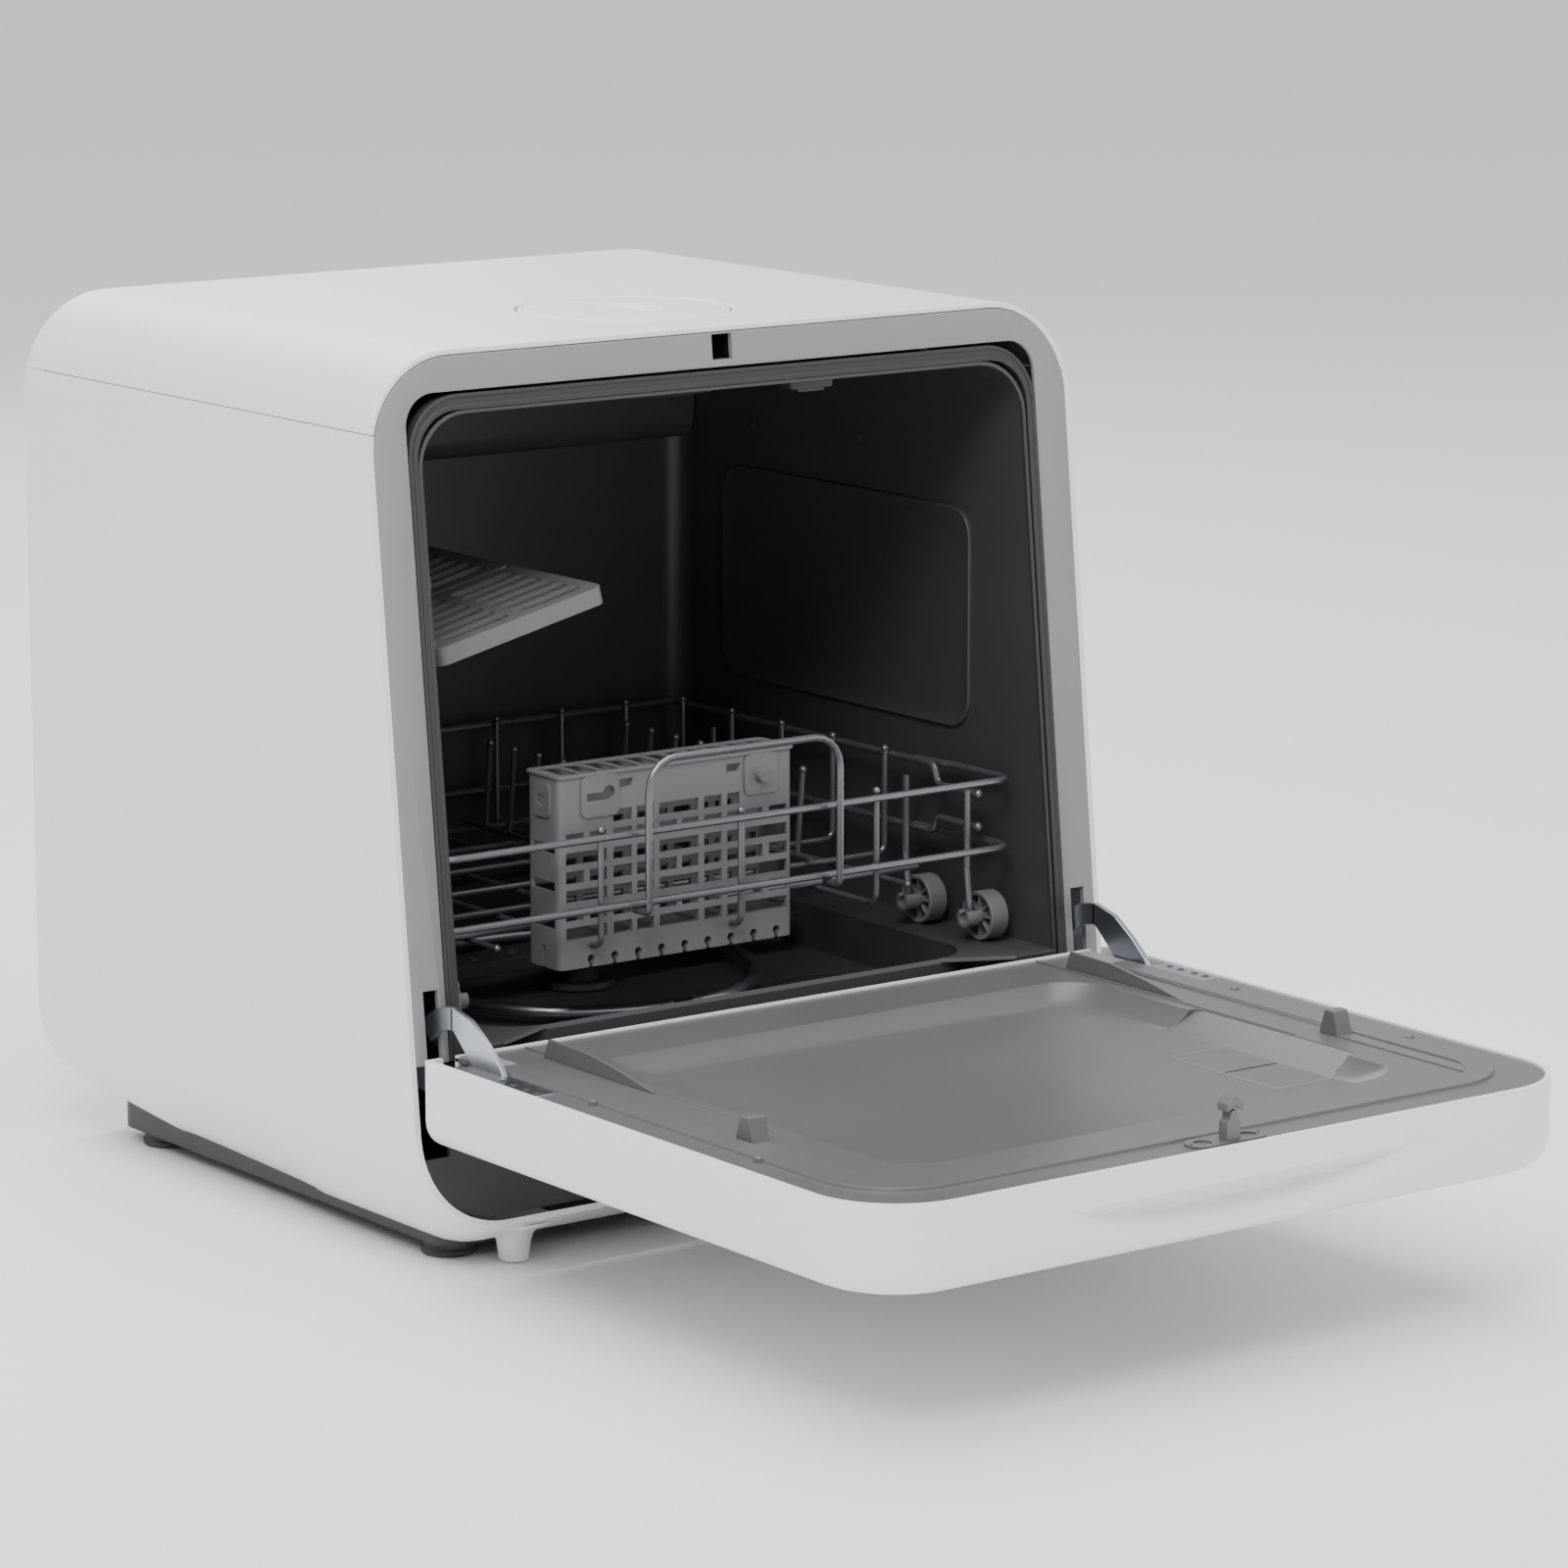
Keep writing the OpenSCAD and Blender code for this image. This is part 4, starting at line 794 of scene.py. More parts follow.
    def build_rear(self) -> None:
        """Builds the rear panel with its vents, ribs, screws and connectors."""
        y = 0.338
        bm = blank()
        w = self.half_w - self.skin - 0.0003
        round_slab(bm, (-w, y, self.low + 0.0033), (w, y + 0.002, self.top - 0.0033), Axis.Y,
                   self.radius - 0.0033, 12)
        panel = settle("rear_sheet", bm, "cabinet", Looks.dark, ["rear_panel"], Edging(0.0004))
        fixed_wall(panel)
        tool = blank()
        for i in range(11):
            x = -0.060 + 0.012 * i
            round_slab(tool, (x - 0.003, y - 0.01, 0.150), (x + 0.003, y + 0.01, 0.210), Axis.Y, 0.0028, 4)
        for x, r in ((-0.130, 0.014), (-0.084, 0.0105), (0.130, 0.0085)):
            drum(tool, (x, y - 0.01, 0.066), (0, 1, 0), 0.02, r)
        carve(panel, tool)
        bm = blank()
        for x0, x1, z0, z1 in ((-0.150, 0.150, 0.235, 0.385), (-0.150, -0.085, 0.115, 0.215),
                               (0.085, 0.150, 0.115, 0.215)):
            verts = round_slab(bm, (x0, y + 0.0015, z0), (x1, y + 0.0045, z1), Axis.Y, 0.014, 6)
            face = [f for f in {f for v in verts for f in v.link_faces} if f.normal.y > 0.99]
            bmesh.ops.inset_region(bm, faces=face, thickness=0.004, depth=-0.0022)
        settle("rear_pressings", bm, "cabinet", Looks.dark, edging=Edging(0.0006, 3))
        bm = blank()
        thread = [(0.0, 0.314), (0.0112, 0.314), (0.0132, 0.3165), (0.0132, 0.334), (0.017, 0.334),
                  (0.017, 0.338), (0.0132, 0.338), (0.0132, 0.340), (0.017, 0.340), (0.017, 0.342),
                  (0.0132, 0.3422)]
        turns = [(0.0132 - (0.0011 if k % 2 else 0.0), 0.3432 + 0.0009 * k) for k in range(16)]
        lathe(bm, thread + turns + [(0.0122, 0.358), (0.0095, 0.358), (0.0095, 0.335), (0, 0.335)],
              (-0.130, 0, 0.066), (0, 1, 0), 48)
        settle("inlet_thread", bm, "cabinet", Looks.pale, ["inlet_connector"])
        bm = blank()
        barbs = []
        for k in range(3):
            z = 0.343 + 0.0045 * k
            barbs += [(0.0085, z), (0.0095, z + 0.0012), (0.0085, z + 0.0043)]
        lathe(bm, [(0, 0.314), (0.0085, 0.314), (0.0085, 0.334), (0.013, 0.334), (0.013, 0.338),
                   (0.0095, 0.338), (0.0095, 0.340), (0.013, 0.340), (0.013, 0.342), *barbs,
                   (0.0082, 0.358), (0.0066, 0.358), (0.0066, 0.335), (0, 0.335)],
              (-0.084, 0, 0.066), (0, 1, 0), 48)
        settle("drain_barbs", bm, "cabinet", Looks.dark, ["drain_connector"])
        bm = blank()
        lathe(bm, [(0.004, 0.333), (0.008, 0.333), (0.008, 0.334), (0.011, 0.334), (0.011, 0.338),
                   (0.0083, 0.338), (0.0083, 0.340), (0.011, 0.340), (0.011, 0.342), (0.0078, 0.3425),
                   (0.0072, 0.348), (0.004, 0.348), (0.004, 0.333)], (0.130, 0, 0.066), (0, 1, 0), 40)
        settle("gland_grommet", bm, "cabinet", Looks.rubber, ["cord_gland"])
        bm = blank()
        for x in (-0.194, 0.194):
            for z in (0.120, 0.240, 0.360):
                screw_head(bm, (x, 0.340, z), (0, 1, 0), 0.0036, 0.002)
        settle("rear_screw_heads", bm, "cabinet", Looks.steel, ["case_screws"])

    def build(self) -> None:
        """Builds every piece of the case."""
        self.build_skins()
        self.build_lid()
        self.build_frame()
        self.build_feet()
        self.build_rear()
        for node, finish in (("base_plate", Looks.dark), ("kick_panel", Looks.dark),
                             ("latch_receiver", Looks.black), ("fill_funnel", Looks.dark),
                             ("water_tank", Looks.pale), ("control_board", Looks.board),
                             ("wash_pump", Looks.black), ("drain_pump", Looks.black),
                             ("hinge_bracket_left", Looks.steel), ("hinge_bracket_right", Looks.steel)):
            dress_node(node, finish)


def screw_head(bm: bmesh.types.BMesh, at: Sequence[float], along: Sequence[float], radius: float,
               height: float) -> None:
    """Adds a domed screw head with a cross recess.

    Args:
        bm: Mesh to add to.
        at: Centre of its foot.
        along: Direction that it faces.
        radius: Radius of the head.
        height: Height of the head.
    """
    r, h = radius, height
    lathe(bm, [(0.001, h * 0.5), (r * 0.3, h * 0.5), (r * 0.34, h), (r * 0.62, h * 0.94), (r * 0.9, h * 0.6),
               (r, h * 0.2), (r, 0), (0, 0)], at, along, 24)
    matrix = placed(at, along)
    for turned in (0.0, math.pi / 2):
        bar = matrix @ Matrix.Rotation(turned, 4, "Z") @ Matrix.Translation((0, 0, h * 0.45))
        bmesh.ops.create_cube(bm, size=1.0, matrix=bar @ Matrix.Diagonal((r * 0.66, r * 0.16, h * 0.3, 1)))


def dress_node(node: str, finish: Finish) -> None:
    """Gives a solid of the frame its finish.

    Args:
        node: Name of the solid.
        finish: Surface that it gets.
    """
    thing = FRAME["nodes"][node]
    thing.data.materials.clear()
    thing.data.materials.append(finish.material())
    LOG.info("dressed %s", node)


# ---------------------------------------------------------------- tub


@dataclass
class Tub:
    """Dark washing tub with its seal, basin and washing parts."""

    half_w: float = 0.180
    top: float = 0.409
    rail: float = 0.112
    back: float = 0.325
    wall: float = 0.002
    radius: float = 0.026
    basin_half: float = 0.146
    basin_front: float = 0.020
    basin_back: float = 0.310
    basin_floor: float = 0.088
    spray_y: float = 0.166

    def build_shell(self) -> None:
        """Builds the tub: a rounded hollow, two rails and a deep basin."""
        bm = blank()
        boxed(bm, (-self.half_w, -0.03, self.rail), (self.half_w, self.back, self.top))
        top = edges_where(bm, lambda a, b: abs((a - b).normalized().y) > 0.99 and a.z > 0.3)
        rounded(bm, top, self.radius, 8)
        rear = edges_where(bm, lambda a, b: a.y > self.back - 1e-5 and b.y > self.back - 1e-5
                           and (a.z > self.rail + 1e-4 or b.z > self.rail + 1e-4))
        rounded(bm, rear, 0.012, 5)
        front = [f for f in bm.faces if f.normal.y < -0.99]
        bmesh.ops.delete(bm, geom=front, context="FACES_ONLY")
        floor = [f for f in bm.faces if f.normal.z < -0.99 and f.calc_center_median().z < self.rail + 1e-4]
        bmesh.ops.inset_region(bm, faces=floor, thickness=0.010)
        well = max((f for f in bm.faces if f.normal.z < -0.99
                    and f.calc_center_median().z < self.rail + 1e-4
                    and all(abs(v.co.x) < self.half_w - 0.005 for v in f.verts)),
                   key=lambda f: f.calc_area())
        for v in well.verts:
            v.co.x = math.copysign(self.basin_half, v.co.x)
            v.co.y = self.basin_back if v.co.y > 0.1 else self.basin_front
        bmesh.ops.dissolve_degenerate(bm, dist=1e-6, edges=bm.edges[:])
        well = max((f for f in bm.faces if abs(f.normal.z) > 0.99
                    and abs(f.calc_center_median().z - self.rail) < 1e-4
                    and all(abs(v.co.x) < self.basin_half + 1e-4 for v in f.verts)),
                   key=lambda f: f.calc_area())
        sunk = bmesh.ops.extrude_face_region(bm, geom=[well])["geom"]
        verts = [g for g in sunk if isinstance(g, bmesh.types.BMVert)]
        bmesh.ops.translate(bm, verts=verts, vec=(0, 0, self.basin_floor - self.rail))
        bmesh.ops.delete(bm, geom=[well], context="FACES_ONLY")
        upright = edges_where(bm, lambda a, b: abs((a - b).normalized().z) > 0.99
                              and max(a.z, b.z) < self.rail + 1e-4)
        rounded(bm, upright, 0.026, 6)
        raked_cut(bm, 0.001)
        bmesh.ops.recalc_face_normals(bm, faces=bm.faces[:])
        if sum(f.normal.z * f.calc_area() for f in bm.faces if f.calc_center_median().z < 0.1) < 0:
            bmesh.ops.reverse_faces(bm, faces=bm.faces[:])
        shell = settle("tub_hollow", bm, "cabinet", Looks.tub, ["tub_shell"], recalc=False,
                       wall=self.wall)
        fixed_wall(shell)
        tool = blank()
        drum(tool, (0.092, 0.066, 0.06), (0, 0, 1), 0.04, 0.034)
        drum(tool, (0, self.spray_y, 0.06), (0, 0, 1), 0.04, 0.009)
        for side in (-1, 1):
            drum(tool, (side * 0.00802, self.spray_y - 0.0916, 0.06), (0, 0, 1), 0.04, 0.005, sides=20)
        carve(shell, tool)
        add_edging(shell, Edging(0.0014, 3))

    def build_pressings(self) -> None:
        """Builds the raised fields on the walls, the wall fasteners and the ceiling boss."""
        bm = blank()
        boxed(bm, (-self.half_w + 0.001, self.back - 0.014, 0.340),
              (self.half_w - 0.001, self.back + 0.0005, self.top + 0.0005))
        low = edges_where(bm, lambda a, b: max(a.z, b.z) < 0.341 and max(a.y, b.y) < self.back - 0.010)
        rounded(bm, low, 0.0125, 8)
        for side in (-1, 1):
            x = sorted((side * (self.half_w - 0.0022), side * (self.half_w + 0.0005)))
            for y0, y1, z0, z1 in ((0.070, 0.285, 0.215, 0.330),):
                verts = round_slab(bm, (x[0], y0, z0), (x[1], y1, z1), Axis.X, 0.016, 6)
                faces = [f for f in {f for v in verts for f in v.link_faces}
                         if f.normal.x * side < -0.99]
                bmesh.ops.inset_region(bm, faces=faces, thickness=0.006, depth=-0.0014)
        settle("tub_pressings", bm, "cabinet", Looks.tub, edging=Edging(0.001, 3))
        bm = blank()
        for y, z in ((0.260, 0.3522), (0.167, 0.3562)):
            for side in (-1, 1):
                lathe(bm, [(0, 0.0012), (0.0012, 0.0014), (0.0022, 0.0010), (0.0026, 0), (0, 0)],
                      (side * (self.half_w + 0.0001), y, z), (-side, 0, 0), 24)
        lathe(bm, [(0, 0.0105), (0.034, 0.0100), (0.048, 0.0080), (0.060, 0.0040), (0.070, 0), (0, 0)],
              (0, 0.122, self.top + 0.0001), (0, 0, -1), 64)
        round_slab(bm, (0.040, 0.036, self.top - 0.0040), (0.066, 0.046, self.top + 0.0002), Axis.Z, 0.002, 3)
        boxed(bm, (0.045, 0.0375, self.top - 0.0058), (0.061, 0.0425, self.top - 0.0030))
        settle("tub_fasteners", bm, "cabinet", Looks.dark, edging=Edging(0.0003))

    def build_seal(self) -> None:
        """Builds the seal with its two lips round the mouth of the tub."""
        bm = blank()
        path = [(0.1850, 0.107), (0.1850, 0.4150), (-0.1850, 0.4150), (-0.1850, 0.107)]
        self.lip(bm, path, 0.0026, 0.0006, 0.0110, 0.0262)
        self.lip(bm, [(x - math.copysign(0.0012, x), z - (0.0026 if z > 0.2 else 0)) for x, z in path],
                 0.0014, -0.0001, 0.006, 0.0242)
        self.lip(bm, [(x + math.copysign(0.0012, x), z + (0.0026 if z > 0.2 else 0)) for x, z in path],
                 0.0010, 0.0, 0.006, 0.0272)
        sliced(bm, (0, 0, 0.1073), (0, 0, 1), capped=False)
        settle("mouth_seal", bm, "cabinet", Looks.seal, ["tub_gasket"], edging=Edging(0.0007, 3))
        bm = blank()
        path = [(0.1806, 0.107), (0.1806, 0.4098), (-0.1806, 0.4098), (-0.1806, 0.107)]
        self.lip(bm, path, 0.0008, 0.0010, 0.0034, 0.0260)
        sliced(bm, (0, 0, 0.1125), (0, 0, 1), capped=False)
        settle("seal_bead", bm, "cabinet", Looks.dark, edging=Edging(0.0003, 2))

    def lip(self, bm: bmesh.types.BMesh, path: Sequence[tuple[float, float]], half: float, front: float,
            rear: float, bend: float) -> None:
        """Adds one lip of the seal along the leaning mouth.

        Args:
            bm: Mesh to add to.
            path: X and Z corners of its middle line.
            half: Half of its width.
            front: Distance of its front behind the front plane.
            rear: Distance of its rear behind the front plane.
            bend: Radius of its corners.
        """

        def flat(matrix: Matrix) -> list:
            """Adds the lip's flat section and returns its edges."""
            verts = bmesh.ops.create_grid(bm, x_segments=1, y_segments=1, size=0.5, matrix=matrix
                                          @ Matrix.Diagonal((2 * half, rear - front, 1, 1)))["verts"]
            for v in verts:
                v.co.y += (front + rear) / 2
            face = verts[0].link_faces[0]
            edges = face.edges[:]
            bmesh.ops.delete(bm, geom=[face], context="FACES_ONLY")
            return edges

        before = set(bm.verts)
        swept(bm, [(x, 0.0, z) for x, z in path], flat, bend, 10)
        for v in [v for v in bm.verts if v not in before]:
            v.co.y += (v.co.z - RIM_Z) * math.tan(RAKE)

    def build_washing(self) -> None:
        """Builds the spray arm, its post, the filter and dresses the sump and heater."""
        y, z = self.spray_y, 0.104
        bm = blank()
        for side in (-1, 1):
            tip = 0.124 * side
            verts = round_slab(bm, (min(0, tip * 1.113), y - 0.014, z), (max(0, tip * 1.113), y + 0.014, z + 0.008),
                               Axis.Z, 0.0135, 8)
            for v in verts:
                reach = abs(v.co.x) / 0.138
                v.co.y = y + (v.co.y - y) * (1.0 - 0.28 * reach) + side * 0.004 * math.sin(3 * reach)
                if v.co.z > z + 0.004:
                    v.co.z -= 0.003 * reach
        lathe(bm, [(0.0051, 0), (0.021, 0), (0.024, 0.0025), (0.0235, 0.008), (0.019, 0.0108),
                   (0.0125, 0.012), (0.0051, 0.012), (0.0051, 0)], (0, y, z), sides=48)
        for side in (-1, 1):
            for k, x in enumerate((0.042, 0.066, 0.090, 0.114)):
                lathe(bm, [(0, 0.0002), (0.0016, 0.0002), (0.0022, 0.0012), (0.0032, 0.0012), (0.0036, 0)],
                      (side * x, y + side * (0.002 + 0.001 * (k % 2)), z + 0.0078 - 0.003 * x / 0.138), sides=20)
        settle("spray_arm_blades", bm, "spray_arm", Looks.dark, ["spray_arm"], Edging(0.001, 3))
        bm = blank()
        lathe(bm, [(0, -0.012), (0.008, -0.012), (0.008, 0), (0.019, 0), (0.020, 0.0012), (0.019, 0.004),
                   (0.011, 0.0045), (0.010, 0.014), (0.0055, 0.0144), (0.005, 0.0155), (0.005, 0.0285),
                   (0.0042, 0.029), (0, 0.029)], (0, y, self.basin_floor), sides=40)
        settle("spray_post", bm, "cabinet", Looks.dark, ["spray_hub"])
        bm = blank()
        at = (0.092, 0.066, self.basin_floor)
        lathe(bm, [(0, 0.0012), (0.010, 0.0012), (0.030, 0.0005), (0.0365, 0.0005), (0.037, 0.0012),
                   (0.0365, 0.003), (0.0325, 0.003), (0.030, 0.0018), (0.012, 0.0024), (0, 0.0026)], at, sides=64)
        lathe(bm, [(0.0308, -0.026), (0.032, -0.026), (0.032, 0.0006), (0.0308, 0.0006), (0.0308, -0.026)], at,
              sides=64)
        round_slab(bm, (at[0] - 0.014, at[1] - 0.003, at[2] + 0.002), (at[0] + 0.014, at[1] + 0.003, at[2] + 0.0098),
                   Axis.Y, 0.004, 4)
        settle("filter_cup", bm, "sump_filter", Looks.steel, ["sump_filter"], Edging(0.0006))
        dress_node("sump", Looks.dark)
        dress_node("heater_ring", Looks.steel)

    def build(self) -> None:
        """Builds every piece of the tub."""
        self.build_shell()
        self.build_pressings()
        self.build_seal()
        self.build_washing()


# ---------------------------------------------------------------- door


@dataclass
class Door:
    """Drop-down door: white shell, grey liner and what is fixed to it."""

    half_w: float = 0.209
    reach: float = 0.358
    hinge_end: float = -0.01144
    low: float = 0.070
    rim: float = 0.113
    wall: float = 0.0025
    corner: float = 0.045
    edge: float = 0.014
    end: float = 0.026
    liner_half: float = 0.2062
    liner_far: float = -0.3552
    liner_z: float = 0.112
    liner_t: float = 0.002
    dish_half: float = 0.148
    dish_near: float = -0.056
    dish_far: float = -0.300
    dish_floor: float = 0.103
    dish_radius: float = 0.022
    ridge: float = 0.0014

    def build_shell(self) -> None:
        """Builds the white outer shell with its finger scoop and pressed panel."""
        bm = blank()
        boxed(bm, (-self.half_w, -self.reach, self.low), (self.half_w, self.hinge_end, self.rim))
        far = edges_where(bm, lambda a, b: abs((a - b).normalized().z) > 0.99 and a.y < -0.2)
        rounded(bm, far, self.corner, 12)
        under = edges_where(bm, lambda a, b: max(a.z, b.z) < self.low + 1e-5
                            and min(a.y, b.y) < self.hinge_end - 1e-4)
        rounded(bm, under, self.edge, 7)
        low = [f for f in bm.faces if f.normal.z < -0.999 and f.calc_area() > 0.01]
        bmesh.ops.inset_region(bm, faces=low, thickness=0.020)
        bmesh.ops.inset_region(bm, faces=low, thickness=0.0015, depth=-0.0006)
        top = [f for f in bm.faces if f.normal.z > 0.999]
        bmesh.ops.delete(bm, geom=top, context="FACES_ONLY")
        self.hollow_scoop(bm)
        shell = settle("door_skin", bm, "door", Looks.enamel, ["door_shell"], wall=self.wall)
        fixed_wall(shell)
        for side in (-1, 1):
            tool = blank()
            x = sorted((side * 0.1922, side * 0.2005))
            boxed(tool, (x[0], -0.030, 0.094), (x[1], 0.0, 0.120))
            carve(shell, tool)
        add_edging(shell, Edging(0.0007, 3))

    def hollow_scoop(self, bm: bmesh.types.BMesh) -> None:
        """Sinks the finger scoop: a sharp upper edge over a hollow that fades out below.

        Args:
            bm: Mesh of the open shell.
        """
        edge = self.rim - 0.0155
        cuts = [((0, 0, edge - d), (0, 0, 1)) for d in (0, 0.0004, 0.0012, 0.0024, 0.004, 0.006, 0.0085, 0.011, 0.0135,
                                                         0.016, 0.0185, 0.021)]
        cuts += [((-0.100 + 0.004 * k, 0, 0), (1, 0, 0)) for k in range(50)]
        for at, normal in cuts:
            near = [f for f in bm.faces if f.calc_center_median().y < -0.344
                    and abs(f.calc_center_median().x) < 0.17]
            parts = {g for f in near for g in (*f.verts, *f.edges, f)}
            bmesh.ops.bisect_plane(bm, geom=list(parts), plane_co=at, plane_no=normal, dist=1e-7)
        for v in bm.verts:
            span = 1 - ((v.co.x + 0.003) / 0.098) ** 2
            if v.co.y < -0.343 and span > 0 and v.co.z < edge - 1e-5:
                low = (edge - v.co.z) / (0.0245 * span ** 0.7)
                if low < 1:
                    shape = math.sin(math.pi / 2 * low / 0.42) if low < 0.42 \
                        else math.cos(math.pi / 2 * (low - 0.42) / 0.58) ** 2
                    v.co.y += 0.0135 * span * shape

    def liner_outline(self, top: float, inset: float = 0.0) -> list[Point]:
        """Gives the liner's outline: square at the hinge, round at the far corners.

        Args:
            top: Height of the outline.
            inset: Distance that it is drawn in.

        Returns:
            Corner points in order.
        """
        w, far, near, r = self.liner_half - inset, self.liner_far + inset, self.hinge_end, 0.0422 - inset
        points = [(w, near, top)]
        for side, start in ((1, 0.0), (-1, 90.0)):
            for k in range(13):
                turn = math.radians(start + 7.5 * k)
                points.append((side * (w - r) + r * math.cos(turn), far + r - r * math.sin(turn), top))
        return points + [(-w, near, top)]

    def build_liner(self) -> None:
        """Builds the grey liner with its dish, its raised ridge and the wheel tracks."""
        bm = blank()
        face = bm.faces.new([bm.verts.new(p) for p in self.liner_outline(self.liner_z)])
        bmesh.ops.recalc_face_normals(bm, faces=[face])
        if face.normal.z < 0:
            face.normal_flip()
        self.sink_dish(bm, face)
        liner = settle("door_liner_skin", bm, "door", Looks.liner, ["door_liner"], wall=self.liner_t,
                       recalc=False)
        fixed_wall(liner)
        tool = blank()
        for side in (-1, 1):
            x = sorted((side * 0.1922, side * 0.2070))
            boxed(tool, (x[0], -0.0295, 0.100), (x[1], 0.0, 0.120))
        carve(liner, tool)
        tool = blank()
        round_slab(tool, (0.1380, -0.2580, 0.1000), (0.1538, -0.1420, 0.1200), Axis.Z, 0.005, 5)
        carve(liner, tool)
        add_edging(liner, Edging(0.0012, 4, 28))
        bm = blank()

        def low_arch(matrix: Matrix) -> list:
            """Adds the ridge's flat-topped section and returns its edges."""
            h, w = self.ridge, 0.007
            rim = [(-w, -0.0006), (-w, 0.0), (-w + 0.0006, h), (w - 0.0006, h), (w, 0.0), (w, -0.0006)]
            flat = Matrix.Translation(matrix.translation)
            heading = matrix.to_3x3() @ Vector((0, 0, 1))
            across = heading.cross(Vector((0, 0, 1))).normalized()
            verts = [bm.verts.new(flat.translation + across * a + Vector((0, 0, b))) for a, b in rim]
            return [bm.edges.new(pair) for pair in zip(verts, verts[1:] + verts[:1])]

        z = self.liner_z
        swept(bm, [(-0.185, -0.0440, z), (-0.185, -0.329, z), (0.185, -0.329, z), (0.185, -0.0440, z)],
              low_arch, 0.034, 12)
        settle("liner_ridge", bm, "door", Looks.liner, edging=Edging(0.0003, 2, 20))
        bm = blank()
        for side in (-1, 1):
            x = sorted((side * 0.1545, side * 0.1783))
            for edge_x in (x[0], x[1] - 0.0012):
                round_slab(bm, (edge_x, -0.212, z - 0.0004), (edge_x + 0.0012, -0.004 + self.hinge_end, z + 0.0009),
                           Axis.Z, 0.0005, 2)
        settle("track_lines", bm, "door", Looks.liner, edging=Edging(0.0004, 2))

    def sink_dish(self, bm: bmesh.types.BMesh, face: bmesh.types.BMFace) -> None:
        """Sinks the round-cornered dish into the liner's face.

        Args:
            bm: Mesh of the liner.
            face: Its flat face.
        """
        outline = face.verts[:]
        z = self.liner_z
        rim = self.dish_ring(bm, 0.0, z)
        bm.faces.remove(face)
        outer = [e for v in outline for e in v.link_edges]
        edges = list(set(outer)) + rim
        bmesh.ops.triangle_fill(bm, use_beauty=True, use_dissolve=True, edges=edges, normal=(0, 0, 1))
        inner = [f for f in bm.faces if all(v not in outline for v in f.verts)
                 and abs(f.calc_center_median().x) < self.dish_half * 0.98
                 and self.dish_far < f.calc_center_median().y < self.dish_near
                 and all(v in {w for e in rim for w in e.verts} for v in f.verts)]
        centre = Vector((0, (self.dish_far + self.dish_near) / 2, z))
        covers = [f for f in inner if self.covers(f, centre)]
        if covers:
            bmesh.ops.delete(bm, geom=inner, context="FACES_ONLY")
        ring = rim
        depth = z - self.dish_floor
        for inset, drop in ((0.0008, 0.10), (0.0025, 0.30), (0.0075, 0.70), (0.0105, 0.92), (0.013, 1.0)):
            lower = self.dish_ring(bm, inset, z - depth * drop)
            bmesh.ops.bridge_loops(bm, edges=ring + lower)
            ring = lower
        bmesh.ops.edgeloop_fill(bm, edges=ring)
        for f in bm.faces:
            if f.normal.z < 0:
                f.normal_flip()
        bm.normal_update()

    @staticmethod
    def covers(face: bmesh.types.BMFace, point: Vector) -> bool:
        """Tells whether a flat face lies over a point.

        Args:
            face: Face to test.
            point: Point in its plane.

        Returns:
            True if the face covers the point.
        """
        return bmesh.geometry.intersect_face_point(face, point)

    def dish_ring(self, bm: bmesh.types.BMesh, inset: float, z: float) -> list:
        """Adds one ring of the dish's wall.

        Args:
            bm: Mesh to add to.
            inset: Distance inside the dish's rim.
            z: Height of the ring.

        Returns:
            The ring's edges.
        """
        r = self.dish_radius
        w, y0, y1 = self.dish_half - inset, self.dish_far + inset, self.dish_near - inset
        verts = []
        for sx, sy, start in ((1, y1, 0), (-1, y1, 90), (-1, y0, 180), (1, y0, 270)):
            cy = sy - r if sy == y1 else sy + r
            for k in range(9):
                turn = math.radians(start + 11.25 * k)
                verts.append(bm.verts.new((sx * (w - r) + r * math.cos(turn), cy + r * math.sin(turn), z)))
        return [bm.edges.new(pair) for pair in zip(verts, verts[1:] + verts[:1])]

    def build_fittings(self) -> None:
        """Builds the stops, the guide fins, the latch, the nubs and the hinge pads."""
        z = self.liner_z
        bm = blank()
        for side in (-1, 1):
            x = sorted((side * 0.168, side * 0.1775))
            prism(bm, [(x[0], -0.2285, z - 0.0005), (x[0], -0.2245, z + 0.012), (x[0], -0.2180, z + 0.012),
                       (x[0], -0.2140, z - 0.0005)], (x[1] - x[0], 0, 0))
        settle("stop_blocks", bm, "door", Looks.liner, ["wheel_stops"], Edging(0.0009, 3))
        bm = blank()
        for side in (-1, 1):
            prism(bm, [(side * 0.1570, -0.0360, z), (side * 0.1570, -0.0400, z + 0.0094),
                       (side * 0.1570, -0.0700, z + 0.0090), (side * 0.1570, -0.1000, z + 0.0052),
                       (side * 0.1570, -0.1250, z + 0.0006), (side * 0.1570, -0.1250, z)], (side * 0.0018, 0, 0))
        settle("guide_fins", bm, "door", Looks.liner, ["track_guides"], Edging(0.0008, 3))
        bm = blank()
        round_slab(bm, (-0.0255, -0.3535, z - 0.0002), (0.0175, -0.3385, z + 0.0012), Axis.Z, 0.0072, 8)
        plate = settle("latch_base", bm, "door", Looks.liner, ["latch_plate"])
        tool = blank()
        for x in (-0.0170, 0.0095):
            drum(tool, (x, -0.3458, z + 0.0002), (0, 0, 1), 0.004, 0.0042, sides=28)
        carve(plate, tool)
        add_edging(plate, Edging(0.0004, 3))
        bm = blank()
        for x in (-0.0238, 0.0158):
            drum(bm, (x, -0.3458, z + 0.0011), (0, 0, 1), 0.0003, 0.0006, sides=12)
        settle("latch_marks", bm, "door", Looks.black)
        bm = blank()
